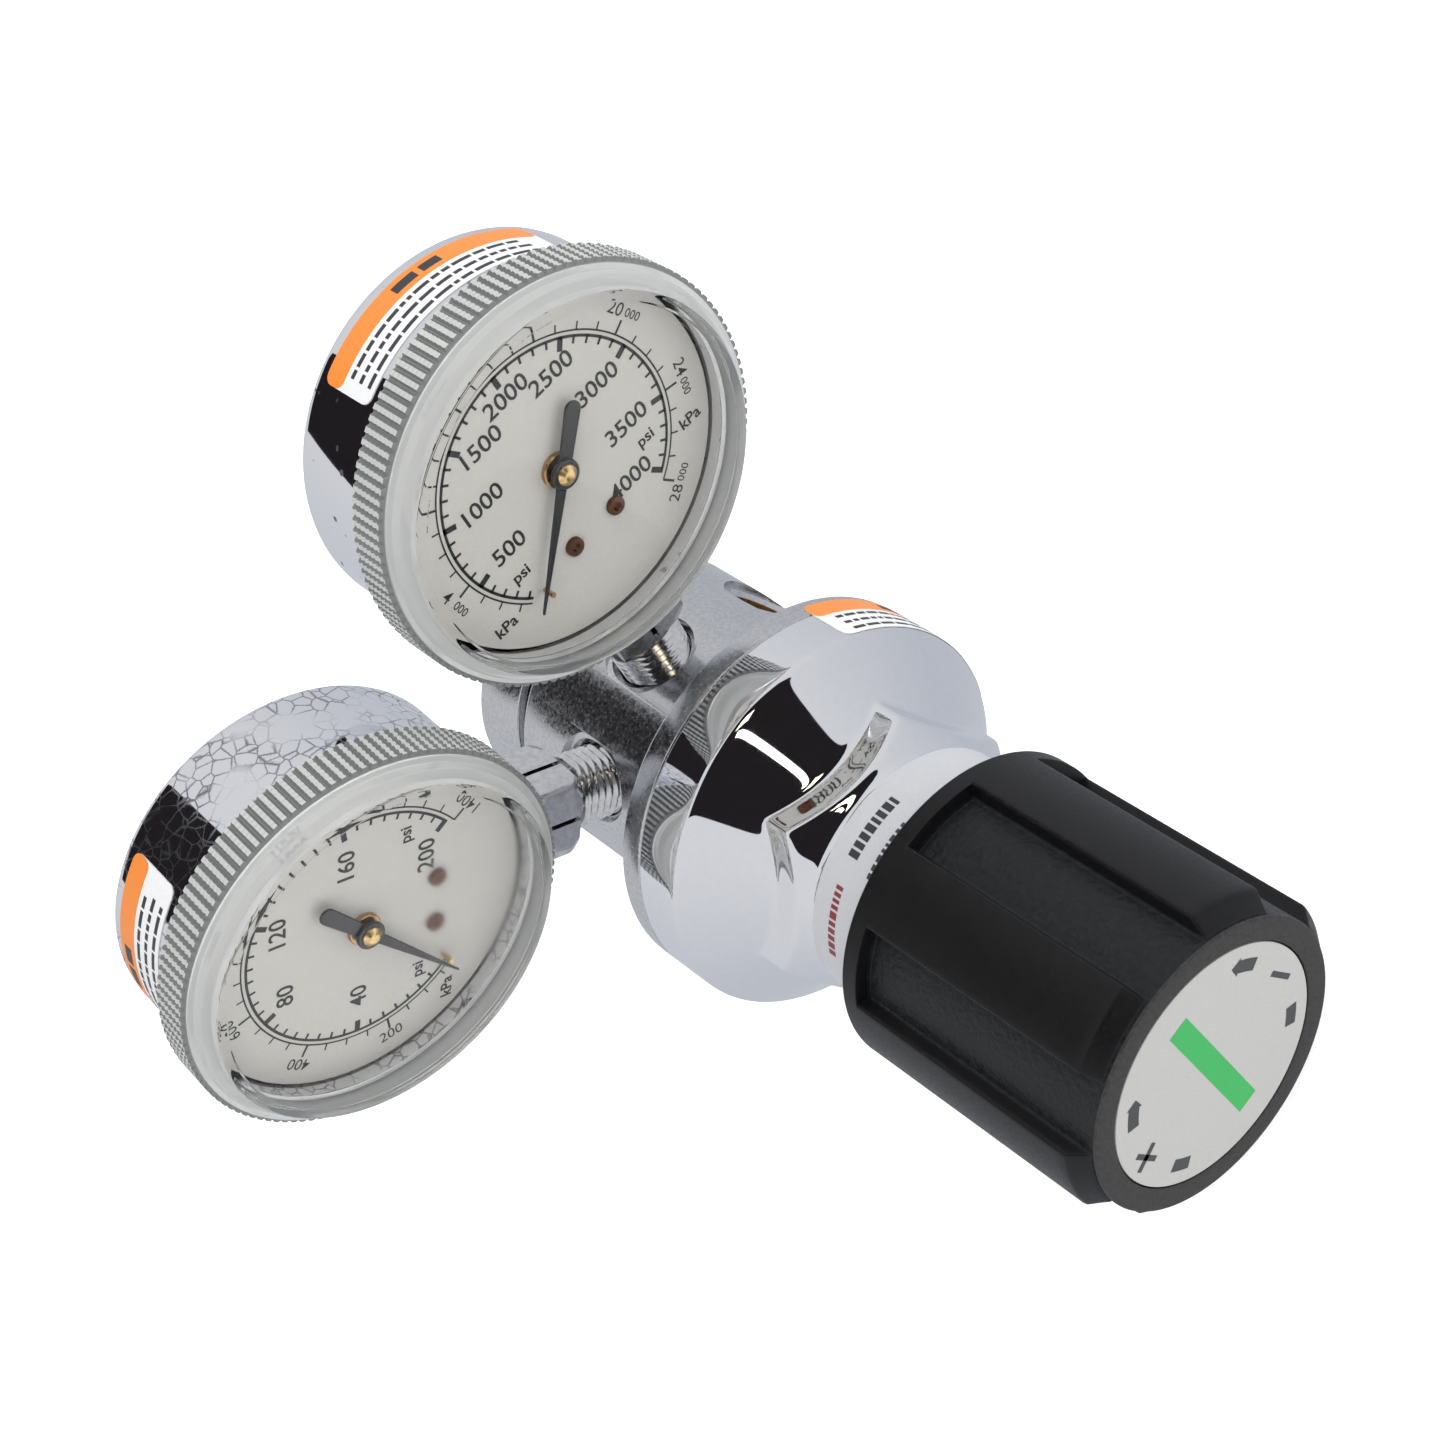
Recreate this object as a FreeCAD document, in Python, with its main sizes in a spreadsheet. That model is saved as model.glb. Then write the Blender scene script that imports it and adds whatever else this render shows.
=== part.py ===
"""Two-gauge cylinder pressure regulator: knob at the front (-Y), gauges above, +Z up.

The main axis is Y. The origin is the centre of the rear cap's flat rear face, so a station
(a distance forward of that face) lies at y = -station. Angles round the main axis are
measured from +X towards +Z. Each gauge is drawn in a frame of its own, whose stations count
forward from its case back and whose +Z is the top of its dial, and is then placed.
"""
import FreeCAD, Part
import math
import os
import re
import Sketcher

Vector = FreeCAD.Vector
doc = FreeCAD.newDocument("regulator")

# ---------------------------------------------------------------- driving dimensions (mm)
SIZES = {
    # rear cap
    "cap_radius": 25.4, "cap_depth": 12.6, "cap_chamfer": 1.4, "cap_wall": 3.0,
    "cap_bore_radius": 17.0, "cap_gap": 1.7,
    # regulator body
    "body_radius": 26.0, "flange_radius": 34.5, "flange_thickness": 4.8,
    "flange_front": 58.5, "spigot_radius": 29.0, "spigot_length": 7.0,
    "chamber_radius": 22.0, "chamber_floor": 50.0, "cap_groove_radius": 23.6,
    # ports, all in one plane
    "port_station": 34.1, "port_radius": 6.6, "port_flat": 24.8, "port_flat_rear": 24.0,
    "port_flat_margin": 2.0, "passage_radius": 1.6, "passage_circle": 17.0,
    "filter_radius": 4.0, "filter_length": 3.6, "feed_radius": 1.2, "feed_circle": 9.2,
    # first stage, behind the port plane
    "first_seat_radius": 18.0, "first_recess_floor": 18.0, "first_nozzle_radius": 8.0,
    "first_nozzle_front": 24.0, "high_radius": 6.5, "high_front": 36.0,
    "first_diaphragm_radius": 21.0, "first_diaphragm_thickness": 0.6,
    "first_plate_radius": 11.0, "first_plate_thickness": 2.0,
    "first_spring_radius": 7.0, "first_spring_wire": 1.0,
    "nozzle_bore": 2.4, "poppet_radius": 4.2, "poppet_length": 3.2, "poppet_pin": 1.4,
    "poppet_spring_radius": 3.2, "poppet_spring_wire": 0.35,
    # second stage, between the port plane and the diaphragm
    "middle_radius": 8.5, "middle_rear": 38.0, "second_nozzle_radius": 9.5,
    "second_nozzle_rear": 45.0,
    # diaphragm stack
    "diaphragm_radius": 28.8, "diaphragm_thickness": 0.8, "slip_inner": 24.0,
    "slip_thickness": 1.0, "plate_radius": 19.6, "plate_thickness": 3.0,
    "plate_hub_radius": 8.6, "plate_hub_length": 5.0,
    # bonnet
    "band_length": 8.9, "hex_across_flats": 46.0, "hex_ahead": 13.4, "hex_root": 9.8,
    "neck_radius": 21.6, "neck_length": 66.5, "bonnet_cavity_radius": 21.0,
    "bonnet_cavity_depth": 16.5,
    "spring_bore_radius": 16.0, "neck_web": 5.0,
    # adjusting screw, spring and knob
    "screw_radius": 6.0, "screw_clearance": 0.05, "screw_reach": 19.0,
    "screw_head_flats": 17.0, "screw_head_length": 7.0, "range_spring_radius": 11.2,
    "range_spring_wire": 1.75, "range_spring_pitch": 4.8, "button_radius": 15.0,
    "button_thickness": 4.0, "button_lip": 1.0, "ball_radius": 3.0,
    "knob_standoff": 41.2, "knob_length": 51.2, "knob_radius": 27.3, "knob_core_radius": 24.6,
    "knob_rim": 3.2, "knob_chamfer": 3.5, "knob_bore_radius": 22.8, "knob_web": 7.0,
    "knob_boss_radius": 12.0, "knob_boss_gap": 10.0, "rib_root": 0.5, "rib_setback": 0.4, "rib_angle": 30.0, "rib_count": 6,
    "rib_phase": 26.0, "decal_radius": 20.35, "decal_thickness": 1.0, "decal_gap": 0.25,
    # labels
    "label_thickness": 0.15, "label_gap": 0.84, "label_margin": 2.0,
    "sticker_thickness": 0.15, "sticker_width": 11.5, "sticker_rear": 3.6,
    "sticker_sweep": 77.0, "high_sticker_angle": 97.5, "low_sticker_angle": 78.0,
    "bonnet_sticker_sweep": 70.0, "bonnet_sticker_angle": -6.0, "bonnet_sticker_lap": 2.8,
    # gauges
    "gauge_reach": 47.8, "gauge_dial_station": 45.5, "gauge_dial_front": 22.5,
    "high_gauge_angle": 61.0, "low_gauge_angle": 119.0, "low_gauge_twist": -5.7,
    "case_radius": 31.2, "case_wall": 1.2, "case_front": 25.0, "case_chamfer": 2.2,
    "bezel_wall": 2.9, "bezel_rear": 19.2, "bezel_front": 27.2, "bezel_clearance": 0.1,
    "rim_step": 0.7, "rim_slope": 1.2, "rim_front": 31.2, "window_thickness": 2.0, "rim_wall": 2.1,
    "dial_radius": 29.6, "dial_thickness": 0.8, "dial_hole": 1.5,
    "dial_screw_radius": 1.6, "dial_screw_height": 0.9, "dial_screw_across": 4.6,
    "dial_screw_down": 13.6, "dial_screw_length": 3.0, "post_radius": 2.0,
    "stem_flats": 14.0, "stem_neck_radius": 7.0, "stem_collar": 4.8, "stem_square": 10.0,
    "block_rise": 4.0, "block_height": 5.0, "block_half_width": 7.0, "block_inset": 1.0,
    "shelf_top": 4.0, "stem_bore": 1.5,
    "tube_radius": 24.5, "tube_half_thickness": 1.0, "tube_rear": 8.0, "tube_width": 6.0,
    "tube_start": 100.0, "tube_sweep": 270.0, "tab_thickness": 0.6, "tab_rear": 13.1, "tab_lag": 2.0,
    "tab_length": 5.5, "tab_half_width": 0.9,
    "lower_plate_rear": 9.0, "plate_sheet": 1.0, "upper_plate_rear": 14.6,
    "frame_half_width": 9.0, "frame_top": 7.0, "frame_bottom": 16.4, "pillar_radius": 1.2,
    "pillar_across": 7.0, "pillar_up": 5.2, "pillar_down": 13.5,
    "sector_rear": 11.2, "sector_thickness": 0.8, "sector_teeth": 84, "pinion_teeth": 12,
    "gear_module": 0.25, "arbor_radius": 0.7, "arbor_clearance": 0.05,
    "tail_length": 5.0, "link_thickness": 0.5, "link_rear": 12.25, "link_half_width": 0.45,
    "link_eye_radius": 1.2, "link_pin_radius": 0.6, "link_clearance": 0.05,
    "hair_rear": 13.2, "hair_height": 0.5, "hair_wire": 0.16, "hair_pitch": 0.6,
    "pointer_rear": 24.0, "pointer_thickness": 0.5, "pointer_reach": 23.4,
    "pointer_tail": 11.6, "pointer_half_width": 1.1, "pointer_tail_width": 1.6, "hub_radius": 2.9, "hub_height": 1.6,
    "rest_angle": 139.0, "stop_pin_radius": 0.45, "stop_pin_circle": 20.0,
    "stop_pin_height": 2.4, "stop_pin_lag": 2.8,
}

sheet = doc.addObject("Spreadsheet::Sheet", "sizes")
for row, (alias, number) in enumerate(SIZES.items(), start=1):
    sheet.set("A%d" % row, alias)
    sheet.set("B%d" % row, str(number))
    sheet.setAlias("B%d" % row, alias)
doc.recompute()

nodes = []


def formula(text):
    """Turn bare size names into references to the sheet's cells."""
    def swap(match):
        word = match.group(0)
        return "sizes." + word if word in SIZES else word
    return re.sub(r"[a-z_]+", swap, str(text))


def value(text):
    """Work out a formula of size names as a plain number."""
    return float(sheet.evalExpression(formula(text)))


def bind(item, **formulas):
    """Bind an object's properties to formulas of the sheet's cells."""
    for name, text in formulas.items():
        item.setExpression(name, formula(text))
    return item


def keep(name, item, place=None):
    """Register a finished sub-part under its own label and put it in its place."""
    item.Label = name
    if place is not None:
        item.Placement = place.multiply(item.Placement)
    nodes.append(item)
    return item


# ---------------------------------------------------------------- derived stations and radii
SEAT = "(flange_front + spigot_length)"                  # the diaphragm's clamping face
BAND_FRONT = "(flange_front + band_length)"
HEX_FRONT = "(band_length + flange_front + hex_ahead)"
HEX_CORNER = "(hex_across_flats / sqrt(3))"
NECK_FRONT = "(flange_front + neck_length)"
CAVITY_FRONT = "(flange_front + bonnet_cavity_depth)"
SCREW_TIP = "(flange_front + neck_length - screw_reach)"
BUTTON_FRONT = "(flange_front + neck_length - screw_reach - ball_radius)"
KNOB_REAR = "(flange_front + knob_standoff)"
KNOB_FRONT = "(flange_front + knob_standoff + knob_length)"
LABEL_REAR = HEX_FRONT[:-1] + " + hex_across_flats / sqrt(3) - neck_radius + label_gap)"
PORT_BOTTOM = "(2 * port_radius)"      # deep enough for the thread, clear of the next port
GAUGE_OFFSET = "(case_radius + gauge_reach)"
BEZEL_RADIUS = "(case_radius + bezel_wall)"
RIM_RADIUS = "(case_radius - rim_step)"
SQUARE_INNER = "(case_radius + stem_collar)"
SQUARE_OUTER = "(case_radius + stem_collar + stem_square)"
BLOCK_TOP = "(tube_radius - block_rise)"

# ---------------------------------------------------------------- frames
STEM = "port_station - gauge_dial_station + gauge_dial_front"   # stem axis, gauge station
MAIN = FreeCAD.Placement(Vector(0, 0, 0), FreeCAD.Rotation(Vector(0, 0, 1), 180))
ALONG_Y = FreeCAD.Rotation(Vector(1, 0, 0), -90)


def gauge_frame(angle, twist):
    """Place of a gauge whose stem points at the main axis from the given angle."""
    reach = value(GAUGE_OFFSET)
    turn = math.radians(angle)
    on_stem = Vector(reach * math.cos(turn), -value("port_station"), reach * math.sin(turn))
    outward = FreeCAD.Rotation(Vector(0, 1, 0), 90 - angle)
    twisted = FreeCAD.Rotation(Vector(0, 0, 1), 180 + twist)
    back = FreeCAD.Placement(Vector(0, -value(STEM), 0), FreeCAD.Rotation())
    return FreeCAD.Placement(on_stem, outward.multiply(twisted)).multiply(back)


# ---------------------------------------------------------------- building blocks
def origin_plane(body, role):
    return [item for item in body.Origin.OriginFeatures if item.Role == role][0]


def outline(body, name, corners):
    """Closed sketch of straight sides; each corner is (radius, station), as formulas."""
    sketch = body.newObject("Sketcher::SketchObject", name)
    sketch.AttachmentSupport = [(origin_plane(body, "XY_Plane"), "")]
    sketch.MapMode = "FlatFace"
    points = [Vector(value(across), value(along), 0) for across, along in corners]
    count = len(points)
    for index in range(count):
        sketch.addGeometry(Part.LineSegment(points[index], points[(index + 1) % count]), False)
    for index in range(count):
        following = (index + 1) % count
        sketch.addConstraint(Sketcher.Constraint("Coincident", index, 2, following, 1))
    for index, (across, along) in enumerate(corners):
        for kind, text, axis in (("DistanceX", across, -2), ("DistanceY", along, -1)):
            if text == "0":
                sketch.addConstraint(Sketcher.Constraint("PointOnObject", index, 1, axis))
                continue
            number = sketch.addConstraint(
                Sketcher.Constraint(kind, -1, 1, index, 1, value(text)))
            sketch.setExpression("Constraints[%d]" % number, formula(text))
    return sketch


def add_turned(body, name, corners, sweep="360"):
    """Add a turned shape to a body: an outline revolved about the station axis."""
    sketch = outline(body, name + "_outline", corners)
    turned = body.newObject("PartDesign::Revolution", name + "_turned")
    turned.Profile = sketch
    turned.ReferenceAxis = (sketch, ["V_Axis"])
    turned.Midplane = sweep != "360"
    bind(turned, Angle=sweep)
    return turned


def turned_body(name, corners, sweep="360"):
    body = doc.addObject("PartDesign::Body", name)
    add_turned(body, name, corners, sweep)
    return body


def ring(name, inner, outer, rear, front):
    """Turned washer or tube between two radii and two stations."""
    corners = [(inner, rear), (outer, rear), (outer, front), (inner, front)]
    return turned_body(name, corners)


def coil(name, radius, wire, rear, front, pitch):
    """Coil spring whose wire just touches the two stations that it stands between."""
    body = doc.addObject("PartDesign::Body", name)
    sketch = body.newObject("Sketcher::SketchObject", name + "_wire")
    sketch.AttachmentSupport = [(origin_plane(body, "XY_Plane"), "")]
    sketch.MapMode = "FlatFace"
    start = "(%s) + (%s)" % (rear, wire)
    centre = Vector(value(radius), value(start), 0)
    sketch.addGeometry(Part.Circle(centre, Vector(0, 0, 1), value(wire)), False)
    for kind, text in (("DistanceX", radius), ("DistanceY", start)):
        number = sketch.addConstraint(Sketcher.Constraint(kind, -1, 1, 0, 3, value(text)))
        sketch.setExpression("Constraints[%d]" % number, formula(text))
    number = sketch.addConstraint(Sketcher.Constraint("Radius", 0, value(wire)))
    sketch.setExpression("Constraints[%d]" % number, formula(wire))
    helix = body.newObject("PartDesign::AdditiveHelix", name + "_coils")
    helix.Profile = sketch
    helix.ReferenceAxis = (sketch, ["V_Axis"])
    helix.Mode = 0
    bind(helix, Pitch=pitch, Height="(%s) - (%s) - 2 * (%s)" % (front, rear, wire))
    return body


def rod(radius, rear, front, across="0", up="0"):
    """Cylinder along the station axis at a place in the dial's plane."""
    item = doc.addObject("Part::Cylinder", "rod")
    bind(item, Radius=radius, Height="(%s) - (%s)" % (front, rear))
    item.Placement = FreeCAD.Placement(Vector(value(across), value(rear), value(up)), ALONG_Y)
    return item


def upright(radius, low, high, station="0", across="0"):
    """Cylinder along Z at a station."""
    item = doc.addObject("Part::Cylinder", "upright")
    bind(item, Radius=radius, Height="(%s) - (%s)" % (high, low))
    item.Placement = FreeCAD.Placement(
        Vector(value(across), value(station), value(low)), FreeCAD.Rotation())
    return item


def block(left, right, rear, front, low, high):
    """Box between two places on each axis."""
    item = doc.addObject("Part::Box", "block")
    bind(item, Length="(%s) - (%s)" % (right, left), Width="(%s) - (%s)" % (front, rear),
         Height="(%s) - (%s)" % (high, low))
    item.Placement = FreeCAD.Placement(
        Vector(value(left), value(rear), value(low)), FreeCAD.Rotation())
    return item


def hexagon(across_flats, rear, front, turn):
    """Hexagonal prism along the station axis, turned about it by some degrees."""
    item = doc.addObject("Part::Prism", "hexagon")
    item.Polygon = 6
    bind(item, Circumradius="(%s) / sqrt(3)" % across_flats,
         Height="(%s) - (%s)" % (front, rear))
    about = FreeCAD.Rotation(Vector(0, 1, 0), turn)
    item.Placement = FreeCAD.Placement(Vector(0, value(rear), 0), about.multiply(ALONG_Y))
    return item


def fuse(*items):
    joined = doc.addObject("Part::MultiFuse", "joined")
    joined.Shapes = list(items)
    return joined


def cut(base, *tools):
    result = doc.addObject("Part::Cut", "machined")
    result.Base = base
    result.Tool = tools[0] if len(tools) == 1 else fuse(*tools)
    return result


def common(one, other):
    result = doc.addObject("Part::Common", "shared")
    result.Base = one
    result.Tool = other
    return result


def spun(item, angle):
    """Turn a piece drawn along +Z to an angle round the main axis, measured from +X."""
    turn = FreeCAD.Placement(Vector(0, 0, 0), FreeCAD.Rotation(Vector(0, 1, 0), angle - 90))
    item.Placement = turn.multiply(item.Placement)
    return item


def plate(name, points, rear, thickness):
    """Flat sheet cut to an outline of (across, up) numbers, at a station."""
    wire = Part.makePolygon([Vector(across, 0, up) for across, up in points + points[:1]])
    item = doc.addObject("Part::Feature", name)
    item.Shape = Part.Face(wire).extrude(Vector(0, value(thickness), 0))
    item.Placement = FreeCAD.Placement(Vector(0, value(rear), 0), FreeCAD.Rotation())
    return item


# ---------------------------------------------------------------- regulator body and rear cap
BODY_REAR = "cap_depth + cap_gap"
PORT_ANGLES = {"inlet": 0, "high_gauge": "high_gauge_angle", "low_gauge": "low_gauge_angle",
               "outlet": 180}


def make_body():
    """Chromed forging: barrel, flange, threaded spigot, two valve chambers and four ports."""
    shell = turned_body("body_blank", [
        ("0", "middle_rear"), ("middle_radius", "middle_rear"),
        ("middle_radius", "second_nozzle_rear"), ("second_nozzle_radius", "second_nozzle_rear"),
        ("second_nozzle_radius", "chamber_floor"), ("chamber_radius", "chamber_floor"),
        ("chamber_radius", SEAT), ("spigot_radius", SEAT), ("spigot_radius", "flange_front"),
        ("flange_radius", "flange_front"), ("flange_radius", "flange_front - flange_thickness"),
        ("body_radius", "flange_front - flange_thickness"), ("body_radius", BODY_REAR),
        ("cap_groove_radius", BODY_REAR), ("cap_groove_radius", "cap_depth"),
        ("first_seat_radius", "cap_depth"), ("first_seat_radius", "first_recess_floor"),
        ("first_nozzle_radius", "first_recess_floor"),
        ("first_nozzle_radius", "first_nozzle_front"), ("high_radius", "first_nozzle_front"),
        ("high_radius", "high_front"), ("0", "high_front")])
    tools = []
    for purpose, angle in PORT_ANGLES.items():
        degrees = value(angle)
        bore = upright("port_radius", PORT_BOTTOM, "flange_radius", "port_station")
        land = block("-port_radius - port_flat_margin", "port_radius + port_flat_margin",
                     "port_flat_rear",
                     "flange_front - flange_thickness", "port_flat", "flange_radius")
        drilled = [bore, land]
        if purpose in ("inlet", "high_gauge"):
            drilled.append(upright("passage_radius", "high_radius - 1", PORT_BOTTOM,
                                   "port_station"))
        else:
            drilled.append(rod("passage_radius", "port_station", "chamber_floor + 1",
                               up="passage_circle"))
        if purpose == "inlet":
            drilled.append(upright("filter_radius", PORT_BOTTOM + " - filter_length",
                                   PORT_BOTTOM, "port_station"))
        tools += [spun(tool, degrees) for tool in drilled]
    feed = rod("feed_radius", "first_recess_floor - 1", "middle_rear + 4", up="feed_circle")
    tools.append(spun(feed, 270))
    keep("body", cut(shell, *tools), MAIN)


def make_rear_cap():
    """Cap that holds the first-stage spring against its diaphragm."""
    keep("rear_cap", turned_body("rear_cap", [
        ("0", "0"), ("cap_radius - cap_chamfer", "0"), ("cap_radius", "cap_chamfer"),
        ("cap_radius", "cap_depth - first_diaphragm_thickness"),
        ("cap_bore_radius", "cap_depth - first_diaphragm_thickness"),
        ("cap_bore_radius", "cap_wall"), ("0", "cap_wall")]), MAIN)


# ---------------------------------------------------------------- first stage
def make_first_stage():
    """Preset stage under the rear cap: spring, plate, diaphragm, nozzle and poppet."""
    face = "cap_depth - first_diaphragm_thickness"
    plate_rear = face + " - first_plate_thickness"
    keep("first_stage_diaphragm", ring(
        "first_stage_diaphragm", "0", "first_diaphragm_radius", face, "cap_depth"), MAIN)
    keep("first_stage_plate", ring(
        "first_stage_plate", "0", "first_plate_radius", plate_rear, face), MAIN)
    keep("first_stage_spring", coil(
        "first_stage_spring", "first_spring_radius", "first_spring_wire", "cap_wall",
        plate_rear, "first_spring_wire * 2.2"), MAIN)
    keep("first_stage_nozzle", ring(
        "first_stage_nozzle", "nozzle_bore", "first_nozzle_radius", "first_recess_floor",
        "first_nozzle_front"), MAIN)
    seat = "first_nozzle_front"
    keep("first_stage_poppet", turned_body("first_stage_poppet", [
        ("0", "cap_depth"), ("poppet_pin", "cap_depth"), ("poppet_pin", seat),
        ("poppet_radius", seat), ("poppet_radius", seat + " + poppet_length"),
        ("0", seat + " + poppet_length")]), MAIN)
    keep("first_stage_poppet_spring", coil(
        "first_stage_poppet_spring", "poppet_spring_radius", "poppet_spring_wire",
        seat + " + poppet_length", "high_front", "1.6"), MAIN)


# ---------------------------------------------------------------- second stage
def make_second_stage():
    """Adjustable stage: nozzle and poppet under the main diaphragm, and the inlet filter."""
    seat = "second_nozzle_rear"
    keep("second_stage_nozzle", ring(
        "second_stage_nozzle", "nozzle_bore", "second_nozzle_radius", seat,
        "chamber_floor"), MAIN)
    keep("second_stage_poppet", turned_body("second_stage_poppet", [
        ("0", seat + " - poppet_length"), ("poppet_radius", seat + " - poppet_length"),
        ("poppet_radius", seat), ("poppet_pin", seat), ("poppet_pin", SEAT), ("0", SEAT)]),
        MAIN)
    keep("second_stage_poppet_spring", coil(
        "second_stage_poppet_spring", "poppet_spring_radius", "poppet_spring_wire",
        "middle_rear", seat + " - poppet_length", "1.2"), MAIN)
    strainer = upright("filter_radius", PORT_BOTTOM + " - filter_length", PORT_BOTTOM,
                       "port_station")
    keep("inlet_filter", spun(strainer, PORT_ANGLES["inlet"]), MAIN)


def make_diaphragm_stack():
    """Main diaphragm, the plate that the spring rests on, and the slip ring that clamps it."""
    top = SEAT + " + diaphragm_thickness"
    keep("diaphragm", ring("diaphragm", "0", "diaphragm_radius", SEAT, top), MAIN)
    keep("slip_ring", ring("slip_ring", "slip_inner", "diaphragm_radius", top,
                           top + " + slip_thickness"), MAIN)
    face = top + " + plate_thickness"
    keep("diaphragm_plate", turned_body("diaphragm_plate", [
        ("0", top), ("plate_radius", top), ("plate_radius", face), ("plate_hub_radius", face),
        ("plate_hub_radius", face + " + plate_hub_length"),
        ("0", face + " + plate_hub_length")]), MAIN)
    keep("range_spring", coil("range_spring", "range_spring_radius", "range_spring_wire", face,
                              BUTTON_FRONT + " - button_thickness", "range_spring_pitch"), MAIN)


# ---------------------------------------------------------------- bonnet
def make_bonnet():
    """Spring housing: plain band, cone, wrench hexagon and the neck that the knob covers."""
    shoulder = SEAT + " + diaphragm_thickness + slip_thickness"
    blank = turned_body("bonnet_blank", [
        ("spigot_radius", "flange_front"), ("flange_radius", "flange_front"),
        ("flange_radius", BAND_FRONT),
        ("neck_radius", BAND_FRONT + " + flange_radius - neck_radius"),
        ("neck_radius", NECK_FRONT), ("screw_radius", NECK_FRONT),
        ("screw_radius", NECK_FRONT + " - neck_web"),
        ("spring_bore_radius", NECK_FRONT + " - neck_web"),
        ("spring_bore_radius", CAVITY_FRONT), ("bonnet_cavity_radius", CAVITY_FRONT),
        ("bonnet_cavity_radius", shoulder), ("spigot_radius", shoulder)])
    root = BAND_FRONT + " + hex_ahead - hex_root"
    inside = "neck_radius - 1"
    chamfered = turned_body("hexagon_chamfer", [
        (inside, root), (HEX_CORNER, root), (HEX_CORNER, HEX_FRONT),
        (inside, "%s + %s - neck_radius + 1" % (HEX_FRONT, HEX_CORNER))])
    nut = common(hexagon("hex_across_flats", root, HEX_FRONT + " + 10", 30), chamfered)
    keep("bonnet", fuse(blank, nut), MAIN)


# ---------------------------------------------------------------- knob group
def make_knob_group():
    """Adjusting screw, thrust ball, spring button, knob and the disc on the knob's front."""
    front = KNOB_FRONT + " - decal_thickness"
    shank = rod("screw_radius - screw_clearance", SCREW_TIP, front)
    head = hexagon("screw_head_flats", front + " - screw_head_length", front, 0)
    keep("adjusting_screw", fuse(shank, head), MAIN)
    ball = doc.addObject("Part::Sphere", "ball")
    bind(ball, Radius="ball_radius")
    ball.Placement.Base = Vector(0, value(BUTTON_FRONT), 0)
    keep("thrust_ball", ball, MAIN)
    disc = ring("button_blank", "0", "button_radius", BUTTON_FRONT + " - button_thickness",
                BUTTON_FRONT + " + button_lip")
    cup = doc.addObject("Part::Sphere", "cup")
    bind(cup, Radius="ball_radius")
    cup.Placement.Base = Vector(0, value(BUTTON_FRONT), 0)
    keep("spring_button", cut(disc, cup), MAIN)

    rim_front = KNOB_REAR + " + knob_rim"
    boss_rear = NECK_FRONT + " + knob_boss_gap"
    body = turned_body("knob_blank", [
        ("knob_bore_radius", KNOB_REAR), ("knob_radius", KNOB_REAR),
        ("knob_radius", rim_front), ("knob_core_radius", rim_front),
        ("knob_core_radius", KNOB_FRONT), ("decal_radius + decal_gap", KNOB_FRONT),
        ("decal_radius + decal_gap", front), ("0", front), ("0", boss_rear),
        ("knob_boss_radius", boss_rear), ("knob_boss_radius", front + " - knob_web"),
        ("knob_bore_radius", front + " - knob_web")])
    rib = add_turned(body, "rib", [
        ("knob_core_radius - rib_root", rim_front + " - rib_root"),
        ("knob_radius", rim_front + " - rib_root"),
        ("knob_radius", KNOB_FRONT + " - knob_chamfer"),
        ("knob_core_radius", KNOB_FRONT + " - rib_setback"),
        ("knob_core_radius - rib_root", KNOB_FRONT + " - rib_setback")], "rib_angle")
    pattern = body.newObject("PartDesign::PolarPattern", "ribs")
    pattern.Originals = [rib]
    pattern.Axis = (rib.Profile[0], ["V_Axis"])
    pattern.Angle = 360
    bind(pattern, Occurrences="rib_count")
    body.Tip = pattern
    body.Placement = FreeCAD.Placement(
        Vector(0, 0, 0), FreeCAD.Rotation(Vector(0, 1, 0), value("rib_phase")))
    shaft = rod("screw_radius - screw_clearance", boss_rear + " - 1", front)
    socket = hexagon("screw_head_flats", front + " - screw_head_length", front + " + 1", 0)
    keep("knob", cut(body, shaft, socket), MAIN)
    keep("knob_disc", ring("knob_disc", "0", "decal_radius", front, KNOB_FRONT), MAIN)


def wrapped_label(name, radius, rear, front, sweep, angle, place):
    """Thin label on a round wall, centred on an angle of the frame that it is drawn in."""
    outer = "(%s) + sticker_thickness" % radius
    label = turned_body(name, [(radius, rear), (outer, rear), (outer, front), (radius, front)],
                        sweep)
    label.Placement = FreeCAD.Placement(
        Vector(0, 0, 0), FreeCAD.Rotation(Vector(0, 1, 0), -value(angle)))
    keep(name, label, place)


def make_labels():
    """Label round the bonnet's neck and the sticker on its band."""
    keep("neck_label", ring("neck_label", "neck_radius", "neck_radius + label_thickness",
                            LABEL_REAR, NECK_FRONT + " - label_margin"), MAIN)
    rear = "flange_front - bonnet_sticker_lap"
    wrapped_label("bonnet_sticker", "flange_radius", rear, rear + " + sticker_width",
                  "bonnet_sticker_sweep", "180 - bonnet_sticker_angle", MAIN)


# ---------------------------------------------------------------- gauges
PINION_RADIUS = "gear_module * pinion_teeth / 2"
SECTOR_RADIUS = "gear_module * sector_teeth / 2"
TOOTH_SHARE = 0.20      # half the tooth's width at its root, as a share of the tooth pitch
TIP_SHARE = 0.11        # the same at its tip


def toothed_arc(radius, teeth, first, last, toward):
    """Outline points of an arc of teeth; toward is the angle of tooth number 0, in degrees."""
    step = 360.0 / teeth
    module = value("gear_module")
    root, tip = radius - 1.15 * module, radius + 0.8 * module
    points = []
    for number in range(first, last + 1):
        middle = toward + number * step
        for reach, share in ((root, -TOOTH_SHARE), (tip, -TIP_SHARE),
                             (tip, TIP_SHARE), (root, TOOTH_SHARE)):
            turn = math.radians(middle + share * step)
            points.append((reach * math.cos(turn), reach * math.sin(turn)))
    return points


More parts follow.
